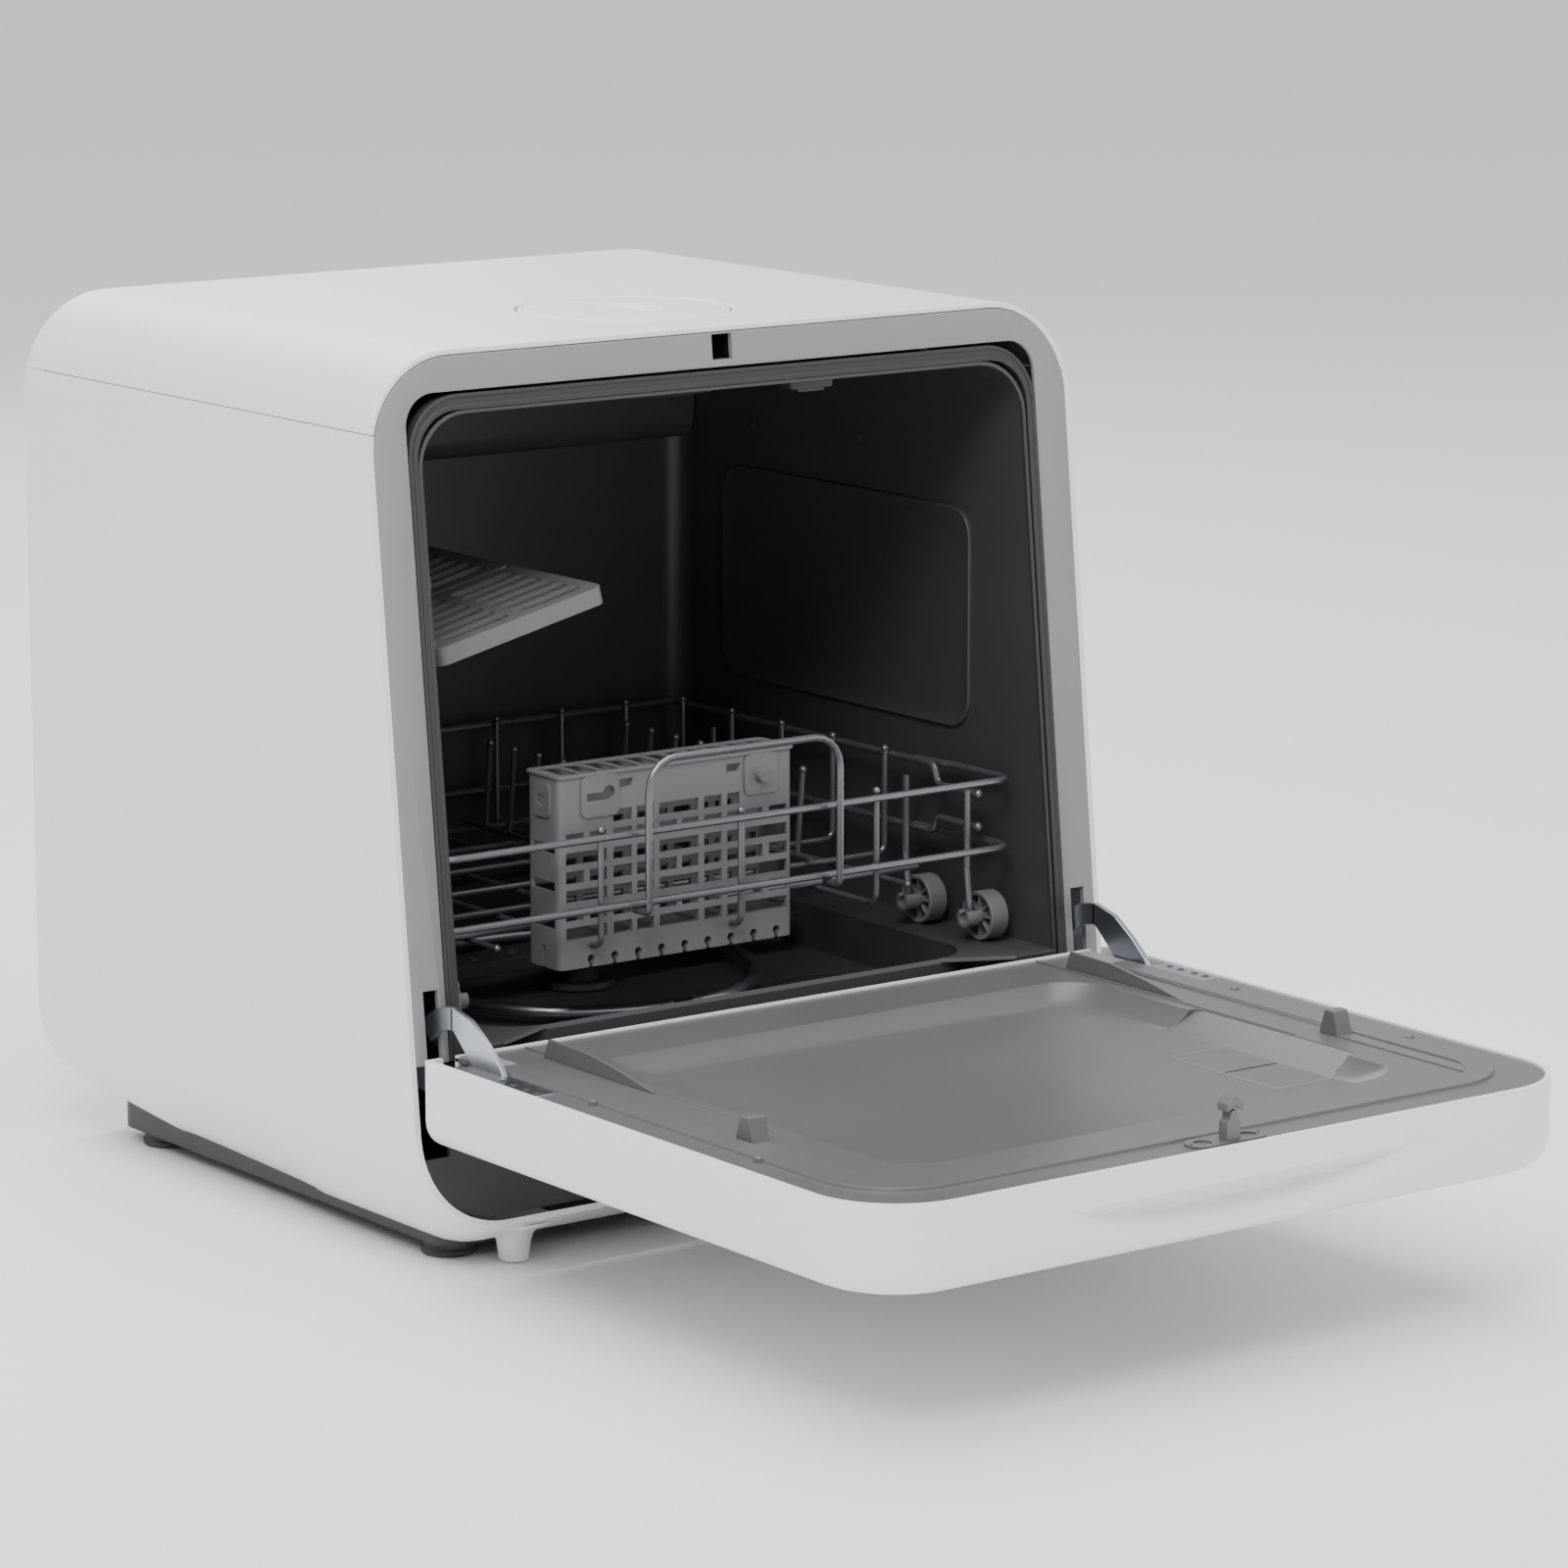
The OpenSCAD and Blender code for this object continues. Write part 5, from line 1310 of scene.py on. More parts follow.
        prism(bm, [(-0.0080, -0.3522, z), (-0.0002, -0.3522, z), (-0.0002, -0.3522, z + 0.0098),
                   (-0.0016, -0.3522, z + 0.0112), (-0.0026, -0.3522, z + 0.0152), (-0.0056, -0.3522, z + 0.0152),
                   (-0.0066, -0.3522, z + 0.0112), (-0.0080, -0.3522, z + 0.0098)], (0, 0.0060, 0))
        prism(bm, [(-0.0086, -0.3530, z + 0.0148), (-0.0086, -0.3530, z + 0.0184), (-0.0041, -0.3530, z + 0.0222),
                   (0.0004, -0.3530, z + 0.0184), (0.0004, -0.3530, z + 0.0148), (-0.0041, -0.3530, z + 0.0172)],
              (0, 0.0074, 0))
        settle("latch_tongue", bm, "door", Looks.liner, ["latch_hook"], Edging(0.0004, 2))
        bm = blank()
        for side in (-1, 1):
            for y in (-0.125, -0.252):
                at = (side * 0.192, y, z)
                lathe(bm, [(0, 0.0026), (0.0016, 0.0025), (0.0023, 0.0019), (0.0026, 0), (0, 0)], at, sides=24)
            x = sorted((side * 0.1685, side * 0.1775))
            round_slab(bm, (x[0], -0.322, z - 0.0003), (x[1], -0.227, z + 0.0006), Axis.Z, 0.002, 4)
        settle("liner_nubs", bm, "door", Looks.liner, edging=Edging(0.0002))
        bm = blank()
        for side in (-1, 1):
            x = sorted((side * 0.1775, side * 0.1915))
            round_slab(bm, (x[0], -0.0560, z - 0.0003), (x[1], -0.0130, z + 0.0009), Axis.Z, 0.0008, 2)
        settle("hinge_pads", bm, "door", Looks.frame, edging=Edging(0.0004, 3))

    def build_cup(self) -> None:
        """Builds the detergent cup: a hollow in the liner with a round-cornered tray and a ramp to it."""
        bm = blank()
        prism(bm, [(0.1350, -0.2600, 0.1030), (0.1542, -0.2600, 0.1118), (0.1552, -0.2600, 0.1106),
                   (0.1375, -0.2600, 0.1014)], (0, 0.1200, 0))
        settle("detergent_ramp", bm, "door", Looks.liner, edging=Edging(0.0004, 2))
        bm = blank()
        round_slab(bm, (0.100, -0.262, 0.0912), (0.144, -0.182, 0.1034), Axis.Z, 0.007, 6)
        top = [f for f in bm.faces if f.normal.z > 0.99]
        bmesh.ops.inset_region(bm, faces=top, thickness=0.0022)
        bmesh.ops.inset_region(bm, faces=top, thickness=0.0004, depth=-0.0105)
        settle("detergent_tray", bm, "door", Looks.grey, ["detergent_cup"], Edging(0.0006, 3))
        bm = blank()
        for y in (-0.222,):
            round_slab(bm, (0.1025, y - 0.0008, 0.094), (0.1415, y + 0.0008, 0.1030), Axis.Y, 0.0004, 2)
        for x, y in ((0.108, -0.252), (0.136, -0.252), (0.108, -0.192), (0.136, -0.192)):
            lathe(bm, [(0, 0.0012), (0.0018, 0.0012), (0.0024, 0.0006), (0.0024, 0), (0, 0)], (x, y, 0.0939),
                  sides=20)
        settle("detergent_ribs", bm, "door", Looks.grey, edging=Edging(0.0002))

    def build_controls(self) -> None:
        """Builds the control strip on the door's outer face and its two buttons."""
        z = self.low
        bm = blank()
        round_slab(bm, (-0.060, -0.334, z - 0.0012), (0.060, -0.310, z + 0.001), Axis.Z, 0.008, 8)
        panel = settle("control_strip", bm, "door", Looks.black, ["control_panel"])
        tool = blank()
        for side in (-1, 1):
            drum(tool, (side * 0.020, -0.322, z - 0.01), (0, 0, 1), 0.03, 0.0073, sides=48)
        carve(panel, tool)
        add_edging(panel, Edging(0.0005, 3))
        for side, node, body in ((-1, "power_button", "power_button"), (1, "program_button", "program_button")):
            bm = blank()
            lathe(bm, [(0, -0.0022), (0.0035, -0.0021), (0.0058, -0.0024), (0.0066, -0.0024), (0.0070, -0.0019),
                       (0.0070, 0.0042), (0, 0.0042)], (side * 0.020, -0.322, z + 0.0004), sides=48)
            settle(f"{node}_cap", bm, body, Looks.frame, [node], Edging(0.0002))

    def build(self) -> None:
        """Builds every piece of the door."""
        self.build_shell()
        self.build_liner()
        self.build_fittings()
        self.build_cup()
        self.build_controls()


@dataclass
class HingeArm:
    """Curved steel arm that carries the door on one side."""

    side: int
    axis_y: float = -0.01544
    axis_z: float = 0.100
    inner_r: float = 0.026
    outer_r: float = 0.037
    inner_x: float = 0.193
    thick: float = 0.003
    start: float = 42.0

    def round_stretch(self, radius: float, first: float, last: float, count: int = 14) -> list:
        """Gives points on a circle about the hinge axis.

        Args:
            radius: Radius of the circle.
            first: Angle of the first point in degrees, 0 towards the rear and 90 upwards.
            last: Angle of the last point.
            count: Number of steps.

        Returns:
            Y and Z pairs.
        """
        turns = [math.radians(first + (last - first) * k / count) for k in range(count + 1)]
        return [(self.axis_y + radius * math.cos(t), self.axis_z + radius * math.sin(t)) for t in turns]

    def build(self) -> None:
        """Builds the arm's plate, its curved stretch and its flange."""
        node = "hinge_arm_right" if self.side > 0 else "hinge_arm_left"
        x = self.side * self.inner_x
        push = (self.side * self.thick, 0, 0)
        bm = blank()
        outline = [(-0.100, 0.0962), (self.axis_y, 0.0960)] + self.round_stretch(0.007, -60, 60, 8)
        outline += [(self.axis_y - 0.004, 0.1099), (-0.100, 0.1099)]
        prism(bm, [(x, y, z) for y, z in outline], push)
        arc = self.round_stretch(self.outer_r, self.start, 90) + self.round_stretch(self.inner_r, 90, self.start)
        prism(bm, [(x, y, z) for y, z in arc], push)
        foot = [(self.axis_y - 0.0005, self.axis_z + self.outer_r), (self.axis_y - 0.0005, self.axis_z + self.inner_r),
                (self.axis_y + 0.002, self.axis_z + self.inner_r), (self.axis_y + 0.002, self.axis_z + self.outer_r)]
        prism(bm, [(x, y, z) for y, z in foot], push)
        rise = [(-0.058, 0.1099), (-0.034, 0.1099), (self.axis_y, self.axis_z + self.inner_r),
                (self.axis_y, self.axis_z + self.outer_r), (-0.030, 0.1335), (-0.044, 0.1245), (-0.055, 0.1155)]
        prism(bm, [(x, y, z) for y, z in rise], push)
        flange = sorted((x, self.side * 0.2056))
        round_slab(bm, (flange[0], -0.098, 0.1104), (flange[1], -0.058, 0.1124), Axis.Z, 0.002, 4)
        settle(f"{node}_steel", bm, "door", Looks.steel, [node], Edging(0.0004))


@dataclass
class Hinges:
    """Both hinge arms and the screws that hold them."""

    screw_x: float = 0.201
    screw_y: tuple[float, ...] = (-0.0925, -0.0840, -0.0735, -0.0650)

    def build(self) -> None:
        """Builds the two arms and their screws."""
        for side in (-1, 1):
            HingeArm(side).build()
        bm = blank()
        for side in (-1, 1):
            for y in self.screw_y:
                screw_head(bm, (side * self.screw_x, y, 0.1123), (0, 0, 1), 0.0020, 0.0006)
        settle("hinge_screw_heads", bm, "door", Looks.dark, ["hinge_screws"])


# ---------------------------------------------------------------- rack


@dataclass
class Rack:
    """Wire rack with its handle, its wheel legs and the frame of the cup shelves."""

    thick: float = 0.0019
    thin: float = 0.0016
    half_w: float = 0.166
    hoop_half: float = 0.173
    front: float = 0.028
    rear: float = 0.313
    upper: float = 0.197
    lower: float = 0.162
    floor: float = 0.142
    cross: float = 0.1449
    in_x: float = 0.1628
    handle_half: float = 0.058
    handle_y: float = 0.020
    handle_z: float = 0.234
    ends: tuple[float, float] = (0.036, 0.305)
    long_x: tuple[float, ...] = (-0.1205, -0.0785, -0.0365, 0.0055, 0.0475, 0.0895, 0.1315)
    cross_y: tuple[float, ...] = (0.082, 0.120, 0.165, 0.210, 0.255, 0.300)
    wheel_y: tuple[float, ...] = (0.041, 0.092, 0.262)
    wheel_z: float = 0.125
    posts: tuple[float, ...] = (0.088, 0.169, 0.250)
    rail_z: float = 0.333
    pivot_z: float = 0.301

    def build_floor(self) -> None:
        """Builds the long wires and the cross wires of the floor."""
        bm = blank()
        for i, x in enumerate(self.long_x):
            start = self.ends[0] if i % 2 else self.front + 0.032
            wire(bm, [(x, start, self.floor), (x, self.ends[1], self.floor)], self.thin,
                 tips=(Tip.FLAT if i % 2 else Tip.BALL, Tip.FLAT))
        for y in self.cross_y:
            reach = self.in_x - 0.008
            wire(bm, [(-reach, y, self.cross), (reach, y, self.cross)], self.thin)
        settle("floor_wires", bm, "rack", Looks.wire, ["rack_floor"])

    def build_front(self) -> None:
        """Builds the two front hoops, the uprights with ball tips and the handle."""
        bm = blank()
        side = self.half_w + 2 * self.thick
        for z in (self.upper, self.lower):
            wire(bm, [(-side, self.front + 0.074, z), (-side, self.front + 0.062, z),
                      (-self.hoop_half, self.front + 0.046, z), (-self.hoop_half, self.front, z),
                      (self.hoop_half, self.front, z), (self.hoop_half, self.front + 0.046, z),
                      (side, self.front + 0.062, z), (side, self.front + 0.074, z)], self.thick, 0.009)
        y = self.front + self.thick + self.thin
        for x in self.long_x[1::2]:
            wire(bm, [(x, y, self.upper + 0.003), (x, y, self.floor), (x, self.ends[0] + 0.002, self.floor)],
                 self.thin, 0.006, (Tip.BALL, Tip.FLAT))
        foot = self.lower - 2 * self.thick
        h = self.handle_half
        wire(bm, [(-h, self.front + 0.004, foot), (-h, self.handle_y, foot), (-h, self.handle_y, self.handle_z),
                  (h, self.handle_y, self.handle_z), (h, self.handle_y, foot), (h, self.front + 0.004, foot)],
             self.thick, (0.003, 0.016, 0.016, 0.003))
        settle("front_wires", bm, "rack", Looks.wire, ["rack_front"])

    def build_side(self, side: int) -> None:
        """Builds one side: its rails, its uprights and the legs that carry the wheels.

        Args:
            side: 1 for the right, -1 for the left.
        """
        bm = blank()
        for z, low in ((self.upper, self.upper - 0.010), (self.lower, self.lower + 0.008)):
            wire(bm, [(self.half_w, self.rear, z), (self.half_w, self.front + 0.055, z),
                      (self.half_w, self.front + 0.051, low), (self.half_w, self.front + 0.018, low)], self.thick,
                 0.005, (Tip.FLAT, Tip.BALL))
        for y in self.cross_y[1:]:
            wire(bm, [(self.in_x, y, self.upper + 0.003), (self.in_x, y, self.cross),
                      (self.in_x - 0.008, y, self.cross)], self.thin, 0.005, (Tip.BALL, Tip.FLAT))
        x = self.half_w - 2 * self.thick
        for y in self.wheel_y:
            wire(bm, [(x, y + 0.009, self.upper - 0.008), (x, y + 0.009, self.floor + 0.006),
                      (0.1567, y, self.wheel_z + 0.007), (0.1567, y, self.wheel_z), (0.1723, y, self.wheel_z)],
                 self.thick, 0.0034)
        name = "right" if side > 0 else "left"
        if side < 0:
            flip_sides(bm)
        settle(f"{name}_side_wires", bm, "rack", Looks.wire, [f"rack_{name}"])

    def build_rear(self) -> None:
        """Builds the two rear rails and the uprights that rise from the long wires."""
        bm = blank()
        reach = self.half_w + self.thick
        for z in (self.upper, self.lower):
            wire(bm, [(-reach, self.rear, z), (reach, self.rear, z)], self.thick)
        y = self.rear - self.thick - self.thin
        for x in self.long_x:
            wire(bm, [(x, y, self.upper + 0.003), (x, y, self.floor), (x, self.ends[1], self.floor)], self.thin,
                 0.0025, (Tip.BALL, Tip.FLAT))
        settle("rear_wires", bm, "rack", Looks.wire, ["rack_rear"])

    def build_tines(self) -> None:
        """Builds the two combs that hold plates upright."""
        bm = blank()
        z = self.cross + 2 * self.thin
        for x in (0.024, 0.112):
            wire(bm, [(x, self.front + 0.088, z), (x, self.cross_y[-1] + 0.006, z)], self.thin)
            for i in range(8):
                y = self.front + 0.100 + i * 0.0225
                wire(bm, [(x, y, z), (x, y - 0.005, z + 0.046)], self.thin, tips=(Tip.FLAT, Tip.BALL))
        settle("plate_combs", bm, "rack", Looks.wire, ["plate_tines"])

    def build_shelf_frame(self) -> None:
        """Builds the wire loop and the posts that carry the cup shelves."""
        bm = blank()
        mid = (self.posts[0] + self.posts[2]) / 2
        reach = (self.posts[1] - self.posts[0]) * 1.5 - 0.005
        x = -self.in_x
        wire(bm, [(x, mid + reach, self.pivot_z + 0.0105), (x, mid + reach, self.pivot_z),
                  (x, mid - reach, self.pivot_z), (x, mid - reach, self.rail_z), (x, mid + reach, self.rail_z),
                  (x, mid + reach, self.rail_z - 0.013)], self.thin, 0.007)
        for y in self.posts:
            wire(bm, [(x, y, self.lower), (x, y, self.rail_z)], self.thin)
        settle("shelf_wires", bm, "rack", Looks.wire, ["shelf_frame"])

    def build(self) -> None:
        """Builds every wire piece of the rack."""
        self.build_floor()
        self.build_front()
        for side in (1, -1):
            self.build_side(side)
        self.build_rear()
        self.build_tines()
        self.build_shelf_frame()


@dataclass
class Wheel:
    """Small spoked wheel that runs on its wire axle."""

    name: str
    side: int
    y: float
    z: float = 0.125
    inner_x: float = 0.1617
    width: float = 0.011
    radius: float = 0.0127
    bore: float = 0.002

    def build(self) -> None:
        """Builds the rim, the web with eight ribs and the hub."""
        bm = blank()
        r, w, b = self.radius, self.width, self.bore
        at = (self.inner_x, self.y, self.z)
        lathe(bm, [(b, 0), (0.0042, 0), (0.0042, w / 2), (r - 0.0024, w / 2), (r - 0.0024, 0.0004), (r - 0.0018, 0),
                   (r - 0.0004, 0), (r, 0.0004), (r, w - 0.0004), (r - 0.0004, w), (r - 0.0018, w),
                   (r - 0.0024, w - 0.0004), (r - 0.0024, w / 2 + 0.0015), (0.0042, w / 2 + 0.0015),
                   (0.0042, w - 0.0003), (0.0038, w), (b, w), (b, 0)], at, (1, 0, 0), 48)
        centre = Vector(at)
        for k in range(8):
            spoke = Matrix.Translation(centre) @ Matrix.Rotation(math.tau * k / 8, 4, "X")
            for x0, x1 in ((0.001, w / 2 + 0.0002), (w / 2 + 0.0013, w - 0.001)):
                verts = boxed(bm, (x0, -0.0005, 0.0038), (x1, 0.0005, r - 0.0022))
                bmesh.ops.transform(bm, matrix=spoke, verts=verts)
        for first in (0.0, math.pi):
            turns = [first + math.radians(14 + 152 * k / 14) for k in range(15)]
            prism(bm, [(self.inner_x + w - 0.0009, self.y + 0.0034 * math.sin(t), self.z + 0.0034 * math.cos(t))
                       for t in turns], (0.0009, 0, 0))
        if self.side < 0:
            flip_sides(bm)
        settle(f"{self.name}_spoked", bm, self.name, Looks.grey, [self.name], Edging(0.00025))
        self.build_keeper()

    def build_keeper(self) -> None:
        """Builds the open sleeve that keeps the wheel on the bent end of its wire."""
        bm = blank()
        turns = [math.radians(128 + 284 * k / 24) for k in range(25)]
        ring = [(self.inner_x - 0.0092, self.y + 0.0050 * math.cos(t), self.z + 0.0050 * math.sin(t)) for t in turns]
        ring += [(self.inner_x - 0.0092, self.y + 0.0029 * math.cos(t), self.z + 0.0029 * math.sin(t))
                 for t in reversed(turns)]
        prism(bm, ring, (0.0088, 0, 0))
        if self.side < 0:
            flip_sides(bm)
        settle(f"{self.name}_keeper", bm, "rack", Looks.grey, edging=Edging(0.0003))


@dataclass
class CupShelf:
    """Slotted cup shelf that clips on a wire and folds up."""

    name: str
    y: float
    x: float = -0.1628
    z: float = 0.301
    tilt: float = 13.0
    length: float = 0.100
    half: float = 0.039
    deep: float = 0.009
    drop: float = 0.007

    def build(self) -> None:
        """Builds the tray with its slots, its skirt, ribs and clips."""
        matrix = Matrix.Translation((self.x, self.y, self.z)) @ Matrix.Rotation(math.radians(-self.tilt), 4, "Y")
        low, high = -self.drop - self.deep, -self.drop
        bm = blank()
        round_slab(bm, (0.0015, -self.half, low), (self.length, self.half, high), Axis.Z, 0.005, 5)
        bmesh.ops.transform(bm, matrix=matrix, verts=bm.verts[:])
        tray = settle(f"{self.name}_tray", bm, self.name, Looks.grey, [self.name])
        tool = blank()
        round_slab(tool, (0.0035, -self.half + 0.002, low - 0.002), (self.length - 0.002, self.half - 0.002,
                                                                      high - 0.002), Axis.Z, 0.004, 4)
        bmesh.ops.transform(tool, matrix=matrix, verts=tool.verts[:])
        carve(tray, tool)
        tool = blank()
        for k in range(6):
            y = -0.0275 + 0.011 * k
            for x0, x1 in ((0.012, 0.050), (0.055, 0.093)):
                round_slab(tool, (x0, y - 0.0034, high - 0.004), (x1, y + 0.0034, high + 0.002), Axis.Z, 0.0032, 4)
        bmesh.ops.transform(tool, matrix=matrix, verts=tool.verts[:])
        carve(tray, tool)
        add_edging(tray, Edging(0.0006, 3))
        bm = blank()
        for k in range(5):
            y = -0.022 + 0.011 * k
            boxed(bm, (0.0035, y - 0.0005, low + 0.0015), (self.length - 0.0018, y + 0.0005, high - 0.0015))
        boxed(bm, (0.0519, -self.half + 0.0018, low + 0.0015), (0.0531, self.half - 0.0018, high - 0.0015))
        for side in (-1, 1):
            self.hook(bm, side * 0.0215 - 0.0042, True)
            self.hook(bm, side * 0.0215 + 0.0042, False)
            prism(bm, [(0.0030, side * 0.0022, low + 0.002), (-0.0030, side * 0.0022, low + 0.002),
                       (-0.0060, side * 0.0034, low + 0.002), (-0.0060, side * 0.0046, low + 0.002),
                       (-0.0024, side * 0.0040, low + 0.002), (0.0030, side * 0.0040, low + 0.002)], (0, 0, 0.0022))
        bmesh.ops.transform(bm, matrix=matrix, verts=bm.verts[:])
        settle(f"{self.name}_clips", bm, self.name, Looks.grey, edging=Edging(0.0003))

    def hook(self, bm: bmesh.types.BMesh, y: float, over: bool) -> None:
        """Adds one open hook that grips the wire of the frame.

        Args:
            bm: Mesh to add to.
            y: Middle of the hook along the shelf.
            over: True for a hook that lies over the wire, False for one that holds it from below.
        """
        inner, outer = 0.00195, 0.0046
        first, sweep = (-38.0, 262.0) if over else (22.0, -262.0)
        turns = [math.radians(first + sweep * k / 20) for k in range(21)]
        ring = [(outer * math.cos(t), y - 0.0032, outer * math.sin(t)) for t in turns]
        ring += [(inner * math.cos(t), y - 0.0032, inner * math.sin(t)) for t in reversed(turns)]
        prism(bm, ring, (0, 0.0064, 0))
        prism(bm, [(0.0017, y - 0.0032, -0.0040), (0.0042, y - 0.0032, -0.0010), (0.0080, y - 0.0032, -0.0062),
                   (0.0080, y - 0.0032, -0.0074), (0.0017, y - 0.0032, -0.0074)], (0, 0.0064, 0))


@dataclass
class Basket:
    """Tall cutlery basket with lattice walls and a slotted top."""

    x0: float = -0.097
    x1: float = 0.044
    y0: float = 0.040
    y1: float = 0.068
    z0: float = 0.131
    z1: float = 0.227
    wall: float = 0.002
    rows: int = 7
    pitch: float = 0.0093
    narrow: tuple[tuple[float, float], ...] = ((4, 14.5), (18, 28), (32, 43), (46, 56), (59.5, 70), (73, 83),
                                               (86.5, 97), (100.5, 108), (111.5, 122), (126, 137))
    broad: tuple[tuple[float, float], ...] = ((4, 28), (32, 43), (46, 56), (59.5, 83), (86.5, 97), (100.5, 108),
                                              (111.5, 137))

    def cut(self, box: bpy.types.Object, shapes: Callable[[bmesh.types.BMesh], None]) -> None:
        """Takes a set of shapes out of the basket.

        Args:
            box: Basket to cut.
            shapes: Adds the shapes to a mesh.
        """
        tool = blank()
        shapes(tool)
        carve(box, tool)

    def lattice(self, tool: bmesh.types.BMesh) -> None:
        """Adds the windows of the long walls, with wide and split rows in turn.

        Args:
            tool: Mesh to add to.
        """
        for k in range(self.rows):
            high = self.z1 - 0.0195 - self.pitch * k
            for a, b in (self.narrow if k % 2 else self.broad):
                if k or not (10 < b < 36 or 111 < a):
                    boxed(tool, (self.x0 + a * MM, self.y0 - 0.01, high - 0.0062),
                          (self.x0 + b * MM, self.y1 + 0.01, high))

    def notches(self, tool: bmesh.types.BMesh) -> None:
        """Adds the keyhole notches that sit over the wires, and the tall slots of the short walls.

        Args:
            tool: Mesh to add to.
        """
        mid = (self.y0 + self.y1) / 2
        for k in range(9):
            x = self.x0 + 0.0185 + 0.014 * k
            boxed(tool, (x - 0.0011, self.y0 - 0.01, self.z0 - 0.01), (x + 0.0011, self.y1 + 0.01, self.z0 + 0.0030))
            drum(tool, (x, self.y0 - 0.01, self.z0 + 0.0040), (0, 1, 0), 0.06, 0.0021, sides=20)
        boxed(tool, (self.x0 - 0.01, mid - 0.0014, self.z0 - 0.01), (self.x1 + 0.01, mid + 0.0014, self.z0 + 0.011))

    def openings(self, tool: bmesh.types.BMesh) -> None:
        """Adds the windows of the short walls, the two slanted windows and the keyhole.

        Args:
            tool: Mesh to add to.
        """
        y, z = self.y0, self.z1
        for k in range(3):
            high = z - 0.034 - 0.0186 * k
            boxed(tool, (self.x0 - 0.01, y + 0.004, high - 0.005), (self.x1 + 0.01, self.y1 - 0.004, high))
        for x in (self.x0 + 0.0355, self.x0 + 0.1000):
            prism(tool, [(x, y - 0.01, z - 0.0050), (x + 0.0085, y - 0.01, z - 0.0050),
                         (x + 0.0072, y - 0.01, z - 0.0090), (x, y - 0.01, z - 0.0090)], (0, 0.014, 0))
        drum(tool, (self.x0 + 0.0290, y - 0.01, z - 0.0105), (0, 1, 0), 0.014, 0.0034, sides=28)
        boxed(tool, (self.x0 + 0.0160, y - 0.01, z - 0.0138), (self.x0 + 0.0290, y + 0.004, z - 0.0100))

    def build(self) -> None:
        """Builds the hollow box, its lattice, its slotted top and its plates."""
        bm = blank()
        round_slab(bm, (self.x0, self.y0, self.z0), (self.x1, self.y1, self.z1 - 0.0012), Axis.Z, 0.004, 5)
        box = settle("basket_walls", bm, "cutlery_basket", Looks.grey, ["cutlery_basket"])
        w = self.wall
        self.cut(box, lambda tool: round_slab(tool, (self.x0 + w, self.y0 + w, self.z0 + 0.016),
                                              (self.x1 - w, self.y1 - w, self.z1 + 0.01), Axis.Z, 0.002, 3))
        for shapes in (self.lattice, self.notches, self.openings):
            self.cut(box, shapes)
        add_edging(box, Edging(0.0004, 2))
        self.build_plates()
        self.build_top()

    def build_plates(self) -> None:
        """Builds the round-cornered plates, the peg and the pierced plate of the short wall."""
        bm = blank()
        y, z, mid = self.y0, self.z1 - 0.0014, (self.y0 + self.y1) / 2
        for x0, x1 in ((0.0125, 0.0350), (0.1105, 0.1310)):
            round_slab(bm, (self.x0 + x0, y - 0.0011, z - 0.0205), (self.x0 + x1, y + 0.0006, z), Axis.Y, 0.0035, 5)
        plates = settle("basket_plates", bm, "cutlery_basket", Looks.grey)
        self.cut(plates, self.openings)
        add_edging(plates, Edging(0.0003, 2))
        bm = blank()
        drum(bm, (self.x0 + 0.1205, y - 0.0006, z - 0.0110), (0, -1, 0), 0.0044, 0.0038, 0.0035, 36)
        settle("basket_peg", bm, "cutlery_basket", Looks.grey, edging=Edging(0.0005, 3))
        bm = blank()
        round_slab(bm, (self.x0 - 0.0010, mid - 0.0070, z - 0.0200), (self.x0 + 0.0006, mid + 0.0070, z - 0.0030),
                   Axis.X, 0.0030, 5)
        star = settle("basket_end_plate", bm, "cutlery_basket", Looks.grey)
        tool = blank()
        for turned in (0.0, 60.0, 120.0):
            verts = boxed(tool, (-0.01, -0.0034, -0.0011), (0.01, 0.0034, 0.0011))
            spot = Matrix.Translation((self.x0, mid, z - 0.0115)) @ Matrix.Rotation(math.radians(turned + 30), 4, "X")
            bmesh.ops.transform(tool, matrix=spot, verts=verts)
        carve(star, tool)
        add_edging(star, Edging(0.0002))

    def build_top(self) -> None:
        """Builds the rim plate with a row of long round-ended slots."""
        bm = blank()
        z = self.z1
        round_slab(bm, (self.x0 - 0.0010, self.y0 - 0.0010, z - 0.0014), (self.x1 + 0.0010, self.y1 + 0.0010, z),
                   Axis.Z, 0.0040, 5)
        top = settle("basket_rim", bm, "cutlery_basket", Looks.grey)
        count = 11
        pitch = (self.x1 - self.x0 - 0.006) / count

        def slots(tool: bmesh.types.BMesh) -> None:
            """Adds the slots that the cutlery stands in."""
            for k in range(count):
                x = self.x0 + 0.003 + pitch * (k + 0.5)
                round_slab(tool, (x - 0.0048, self.y0 + 0.0026, z - 0.01), (x + 0.0048, self.y1 - 0.0026, z + 0.01),
                           Axis.Z, 0.0030, 4)

        self.cut(top, slots)
        add_edging(top, Edging(0.0003, 2))


# ---------------------------------------------------------------- studio


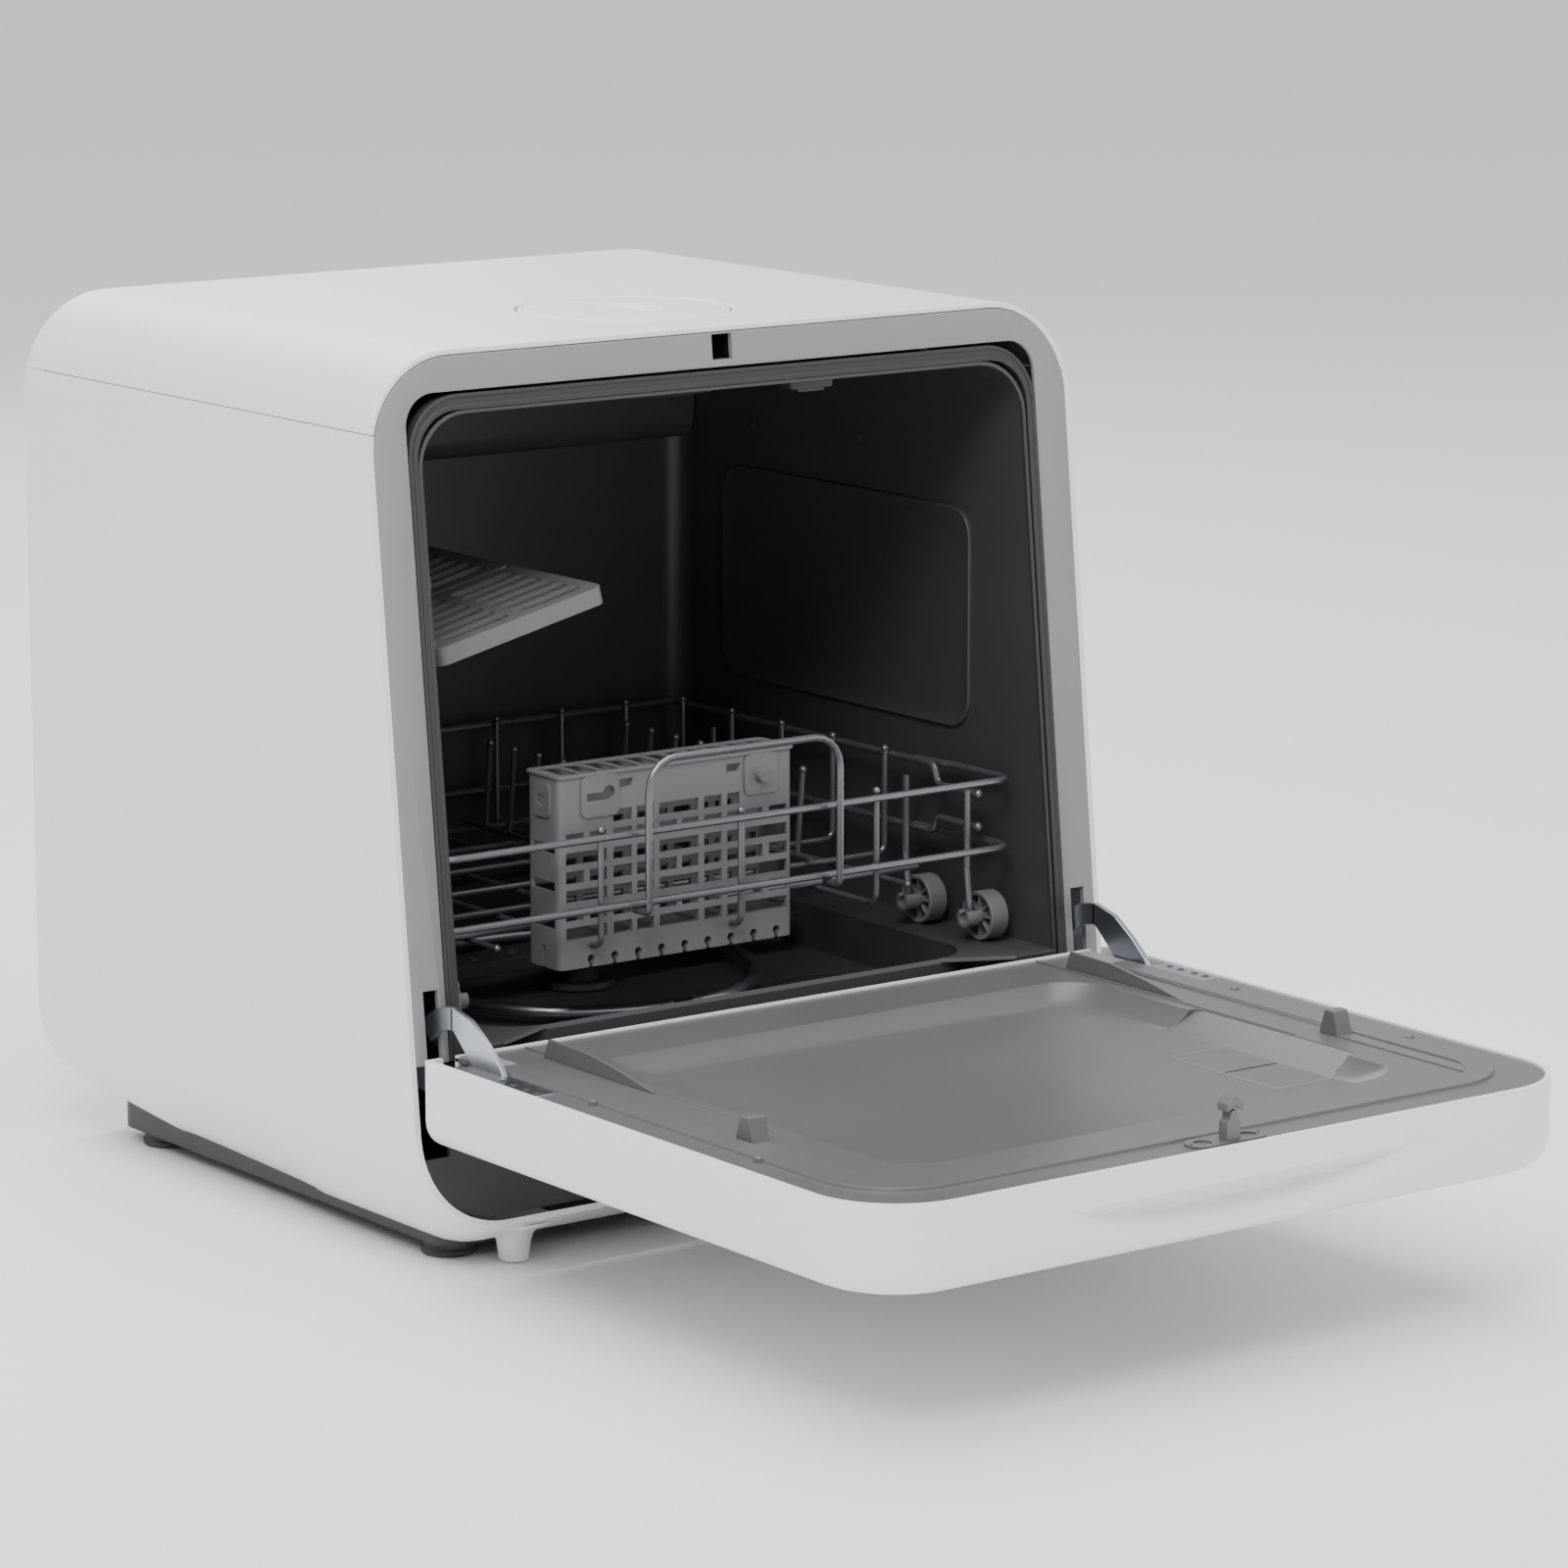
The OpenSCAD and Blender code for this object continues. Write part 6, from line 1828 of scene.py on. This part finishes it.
@dataclass
class Studio:
    """Pale floor, soft lights and the camera."""

    eye: Point = (-1.7070, -2.3136, 0.7798)
    gaze: Point = (0.58462, 0.78838, -0.19151)
    lens: float = 138.2

    def panel(self, name: str, at: Point, target: Point, size: float, power: float) -> None:
        """Adds a soft square light.

        Args:
            name: Name of the light.
            at: Where it hangs.
            target: Where it points.
            size: Edge length in metres.
            power: Watts.
        """
        lamp = bpy.data.lights.new(name, "AREA")
        lamp.shape, lamp.size, lamp.energy = "SQUARE", size, power
        holder = bpy.data.objects.new(name, lamp)
        holder.location = at
        holder.rotation_mode = "QUATERNION"
        holder.rotation_quaternion = (Vector(target) - Vector(at)).to_track_quat("-Z", "Y")
        bpy.context.scene.collection.objects.link(holder)

    def sun(self, name: str, towards: Point, strength: float) -> None:
        """Adds a very soft far light.

        Args:
            name: Name of the light.
            towards: Direction in which the light stands.
            strength: Watts for each square metre.
        """
        lamp = bpy.data.lights.new(name, "SUN")
        lamp.angle, lamp.energy = math.radians(70), strength
        holder = bpy.data.objects.new(name, lamp)
        holder.rotation_mode = "QUATERNION"
        holder.rotation_quaternion = Vector(towards).to_track_quat("Z", "Y")
        bpy.context.scene.collection.objects.link(holder)

    def floor(self) -> None:
        """Adds the plain pale floor."""
        bm = blank()
        bmesh.ops.create_grid(bm, x_segments=1, y_segments=1, size=40.0, matrix=Matrix.Translation((0, 0, -0.0004)))
        mesh = bpy.data.meshes.new("studio_floor")
        bm.to_mesh(mesh)
        bm.free()
        ground = bpy.data.objects.new("studio_floor", mesh)
        paper = bpy.data.materials.new("floor_paper")
        paper.use_nodes = True
        shader = paper.node_tree.nodes["Principled BSDF"]
        shader.inputs["Base Color"].default_value = (0.93, 0.93, 0.93, 1)
        shader.inputs["Roughness"].default_value = 0.7
        mesh.materials.append(paper)
        bpy.context.scene.collection.objects.link(ground)

    def world(self) -> None:
        """Sets the even white surroundings."""
        sky = bpy.data.worlds.new("studio_air")
        sky.use_nodes = True
        shader = sky.node_tree.nodes["Background"]
        shader.inputs["Color"].default_value = (1, 1, 1, 1)
        shader.inputs["Strength"].default_value = 0.6
        bpy.context.scene.world = sky

    def camera(self) -> None:
        """Puts the camera at its viewing angle."""
        lens = bpy.data.cameras.new("view")
        lens.lens, lens.sensor_width = self.lens, 36.0
        lens.clip_start, lens.clip_end = 0.05, 90.0
        eye = bpy.data.objects.new("view", lens)
        eye.location = self.eye
        eye.rotation_mode = "QUATERNION"
        eye.rotation_quaternion = Vector(self.gaze).to_track_quat("-Z", "Y")
        bpy.context.scene.collection.objects.link(eye)
        bpy.context.scene.camera = eye

    def build(self) -> None:
        """Builds the floor, the lights, the surroundings and the camera."""
        self.floor()
        self.world()
        self.camera()
        middle = (0.0, 0.05, 0.2)
        self.panel("key", (-2.0, -1.9, 3.0), middle, 1.4, 80.0)
        self.panel("fill", (2.4, -1.8, 1.6), middle, 2.0, 10.0)
        self.panel("top", (0.0, 0.3, 2.6), middle, 2.4, 60.0)
        self.sun("sky", (-0.25, -0.15, 1.0), 1.0)
        self.panel("rim", (0.8, 2.6, 1.6), middle, 1.6, 20.0)


def main() -> None:
    """Builds the whole dishwasher in order and logs every piece."""
    logging.basicConfig(level=logging.INFO, format="%(message)s")
    FRAME.update(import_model())
    Cabinet().build()
    Tub().build()
    Door().build()
    Hinges().build()
    rack = Rack()
    rack.build()
    for place, y in zip(("front", "second", "rear"), rack.wheel_y):
        for name, side in (("right", 1), ("left", -1)):
            Wheel(f"wheel_{place}_{name}", side, y).build()
    for place, y in zip(("front", "middle", "rear"), rack.posts):
        CupShelf(f"cup_shelf_{place}", y).build()
    Basket().build()
    Studio().build()


if __name__ == "__main__":
    main()
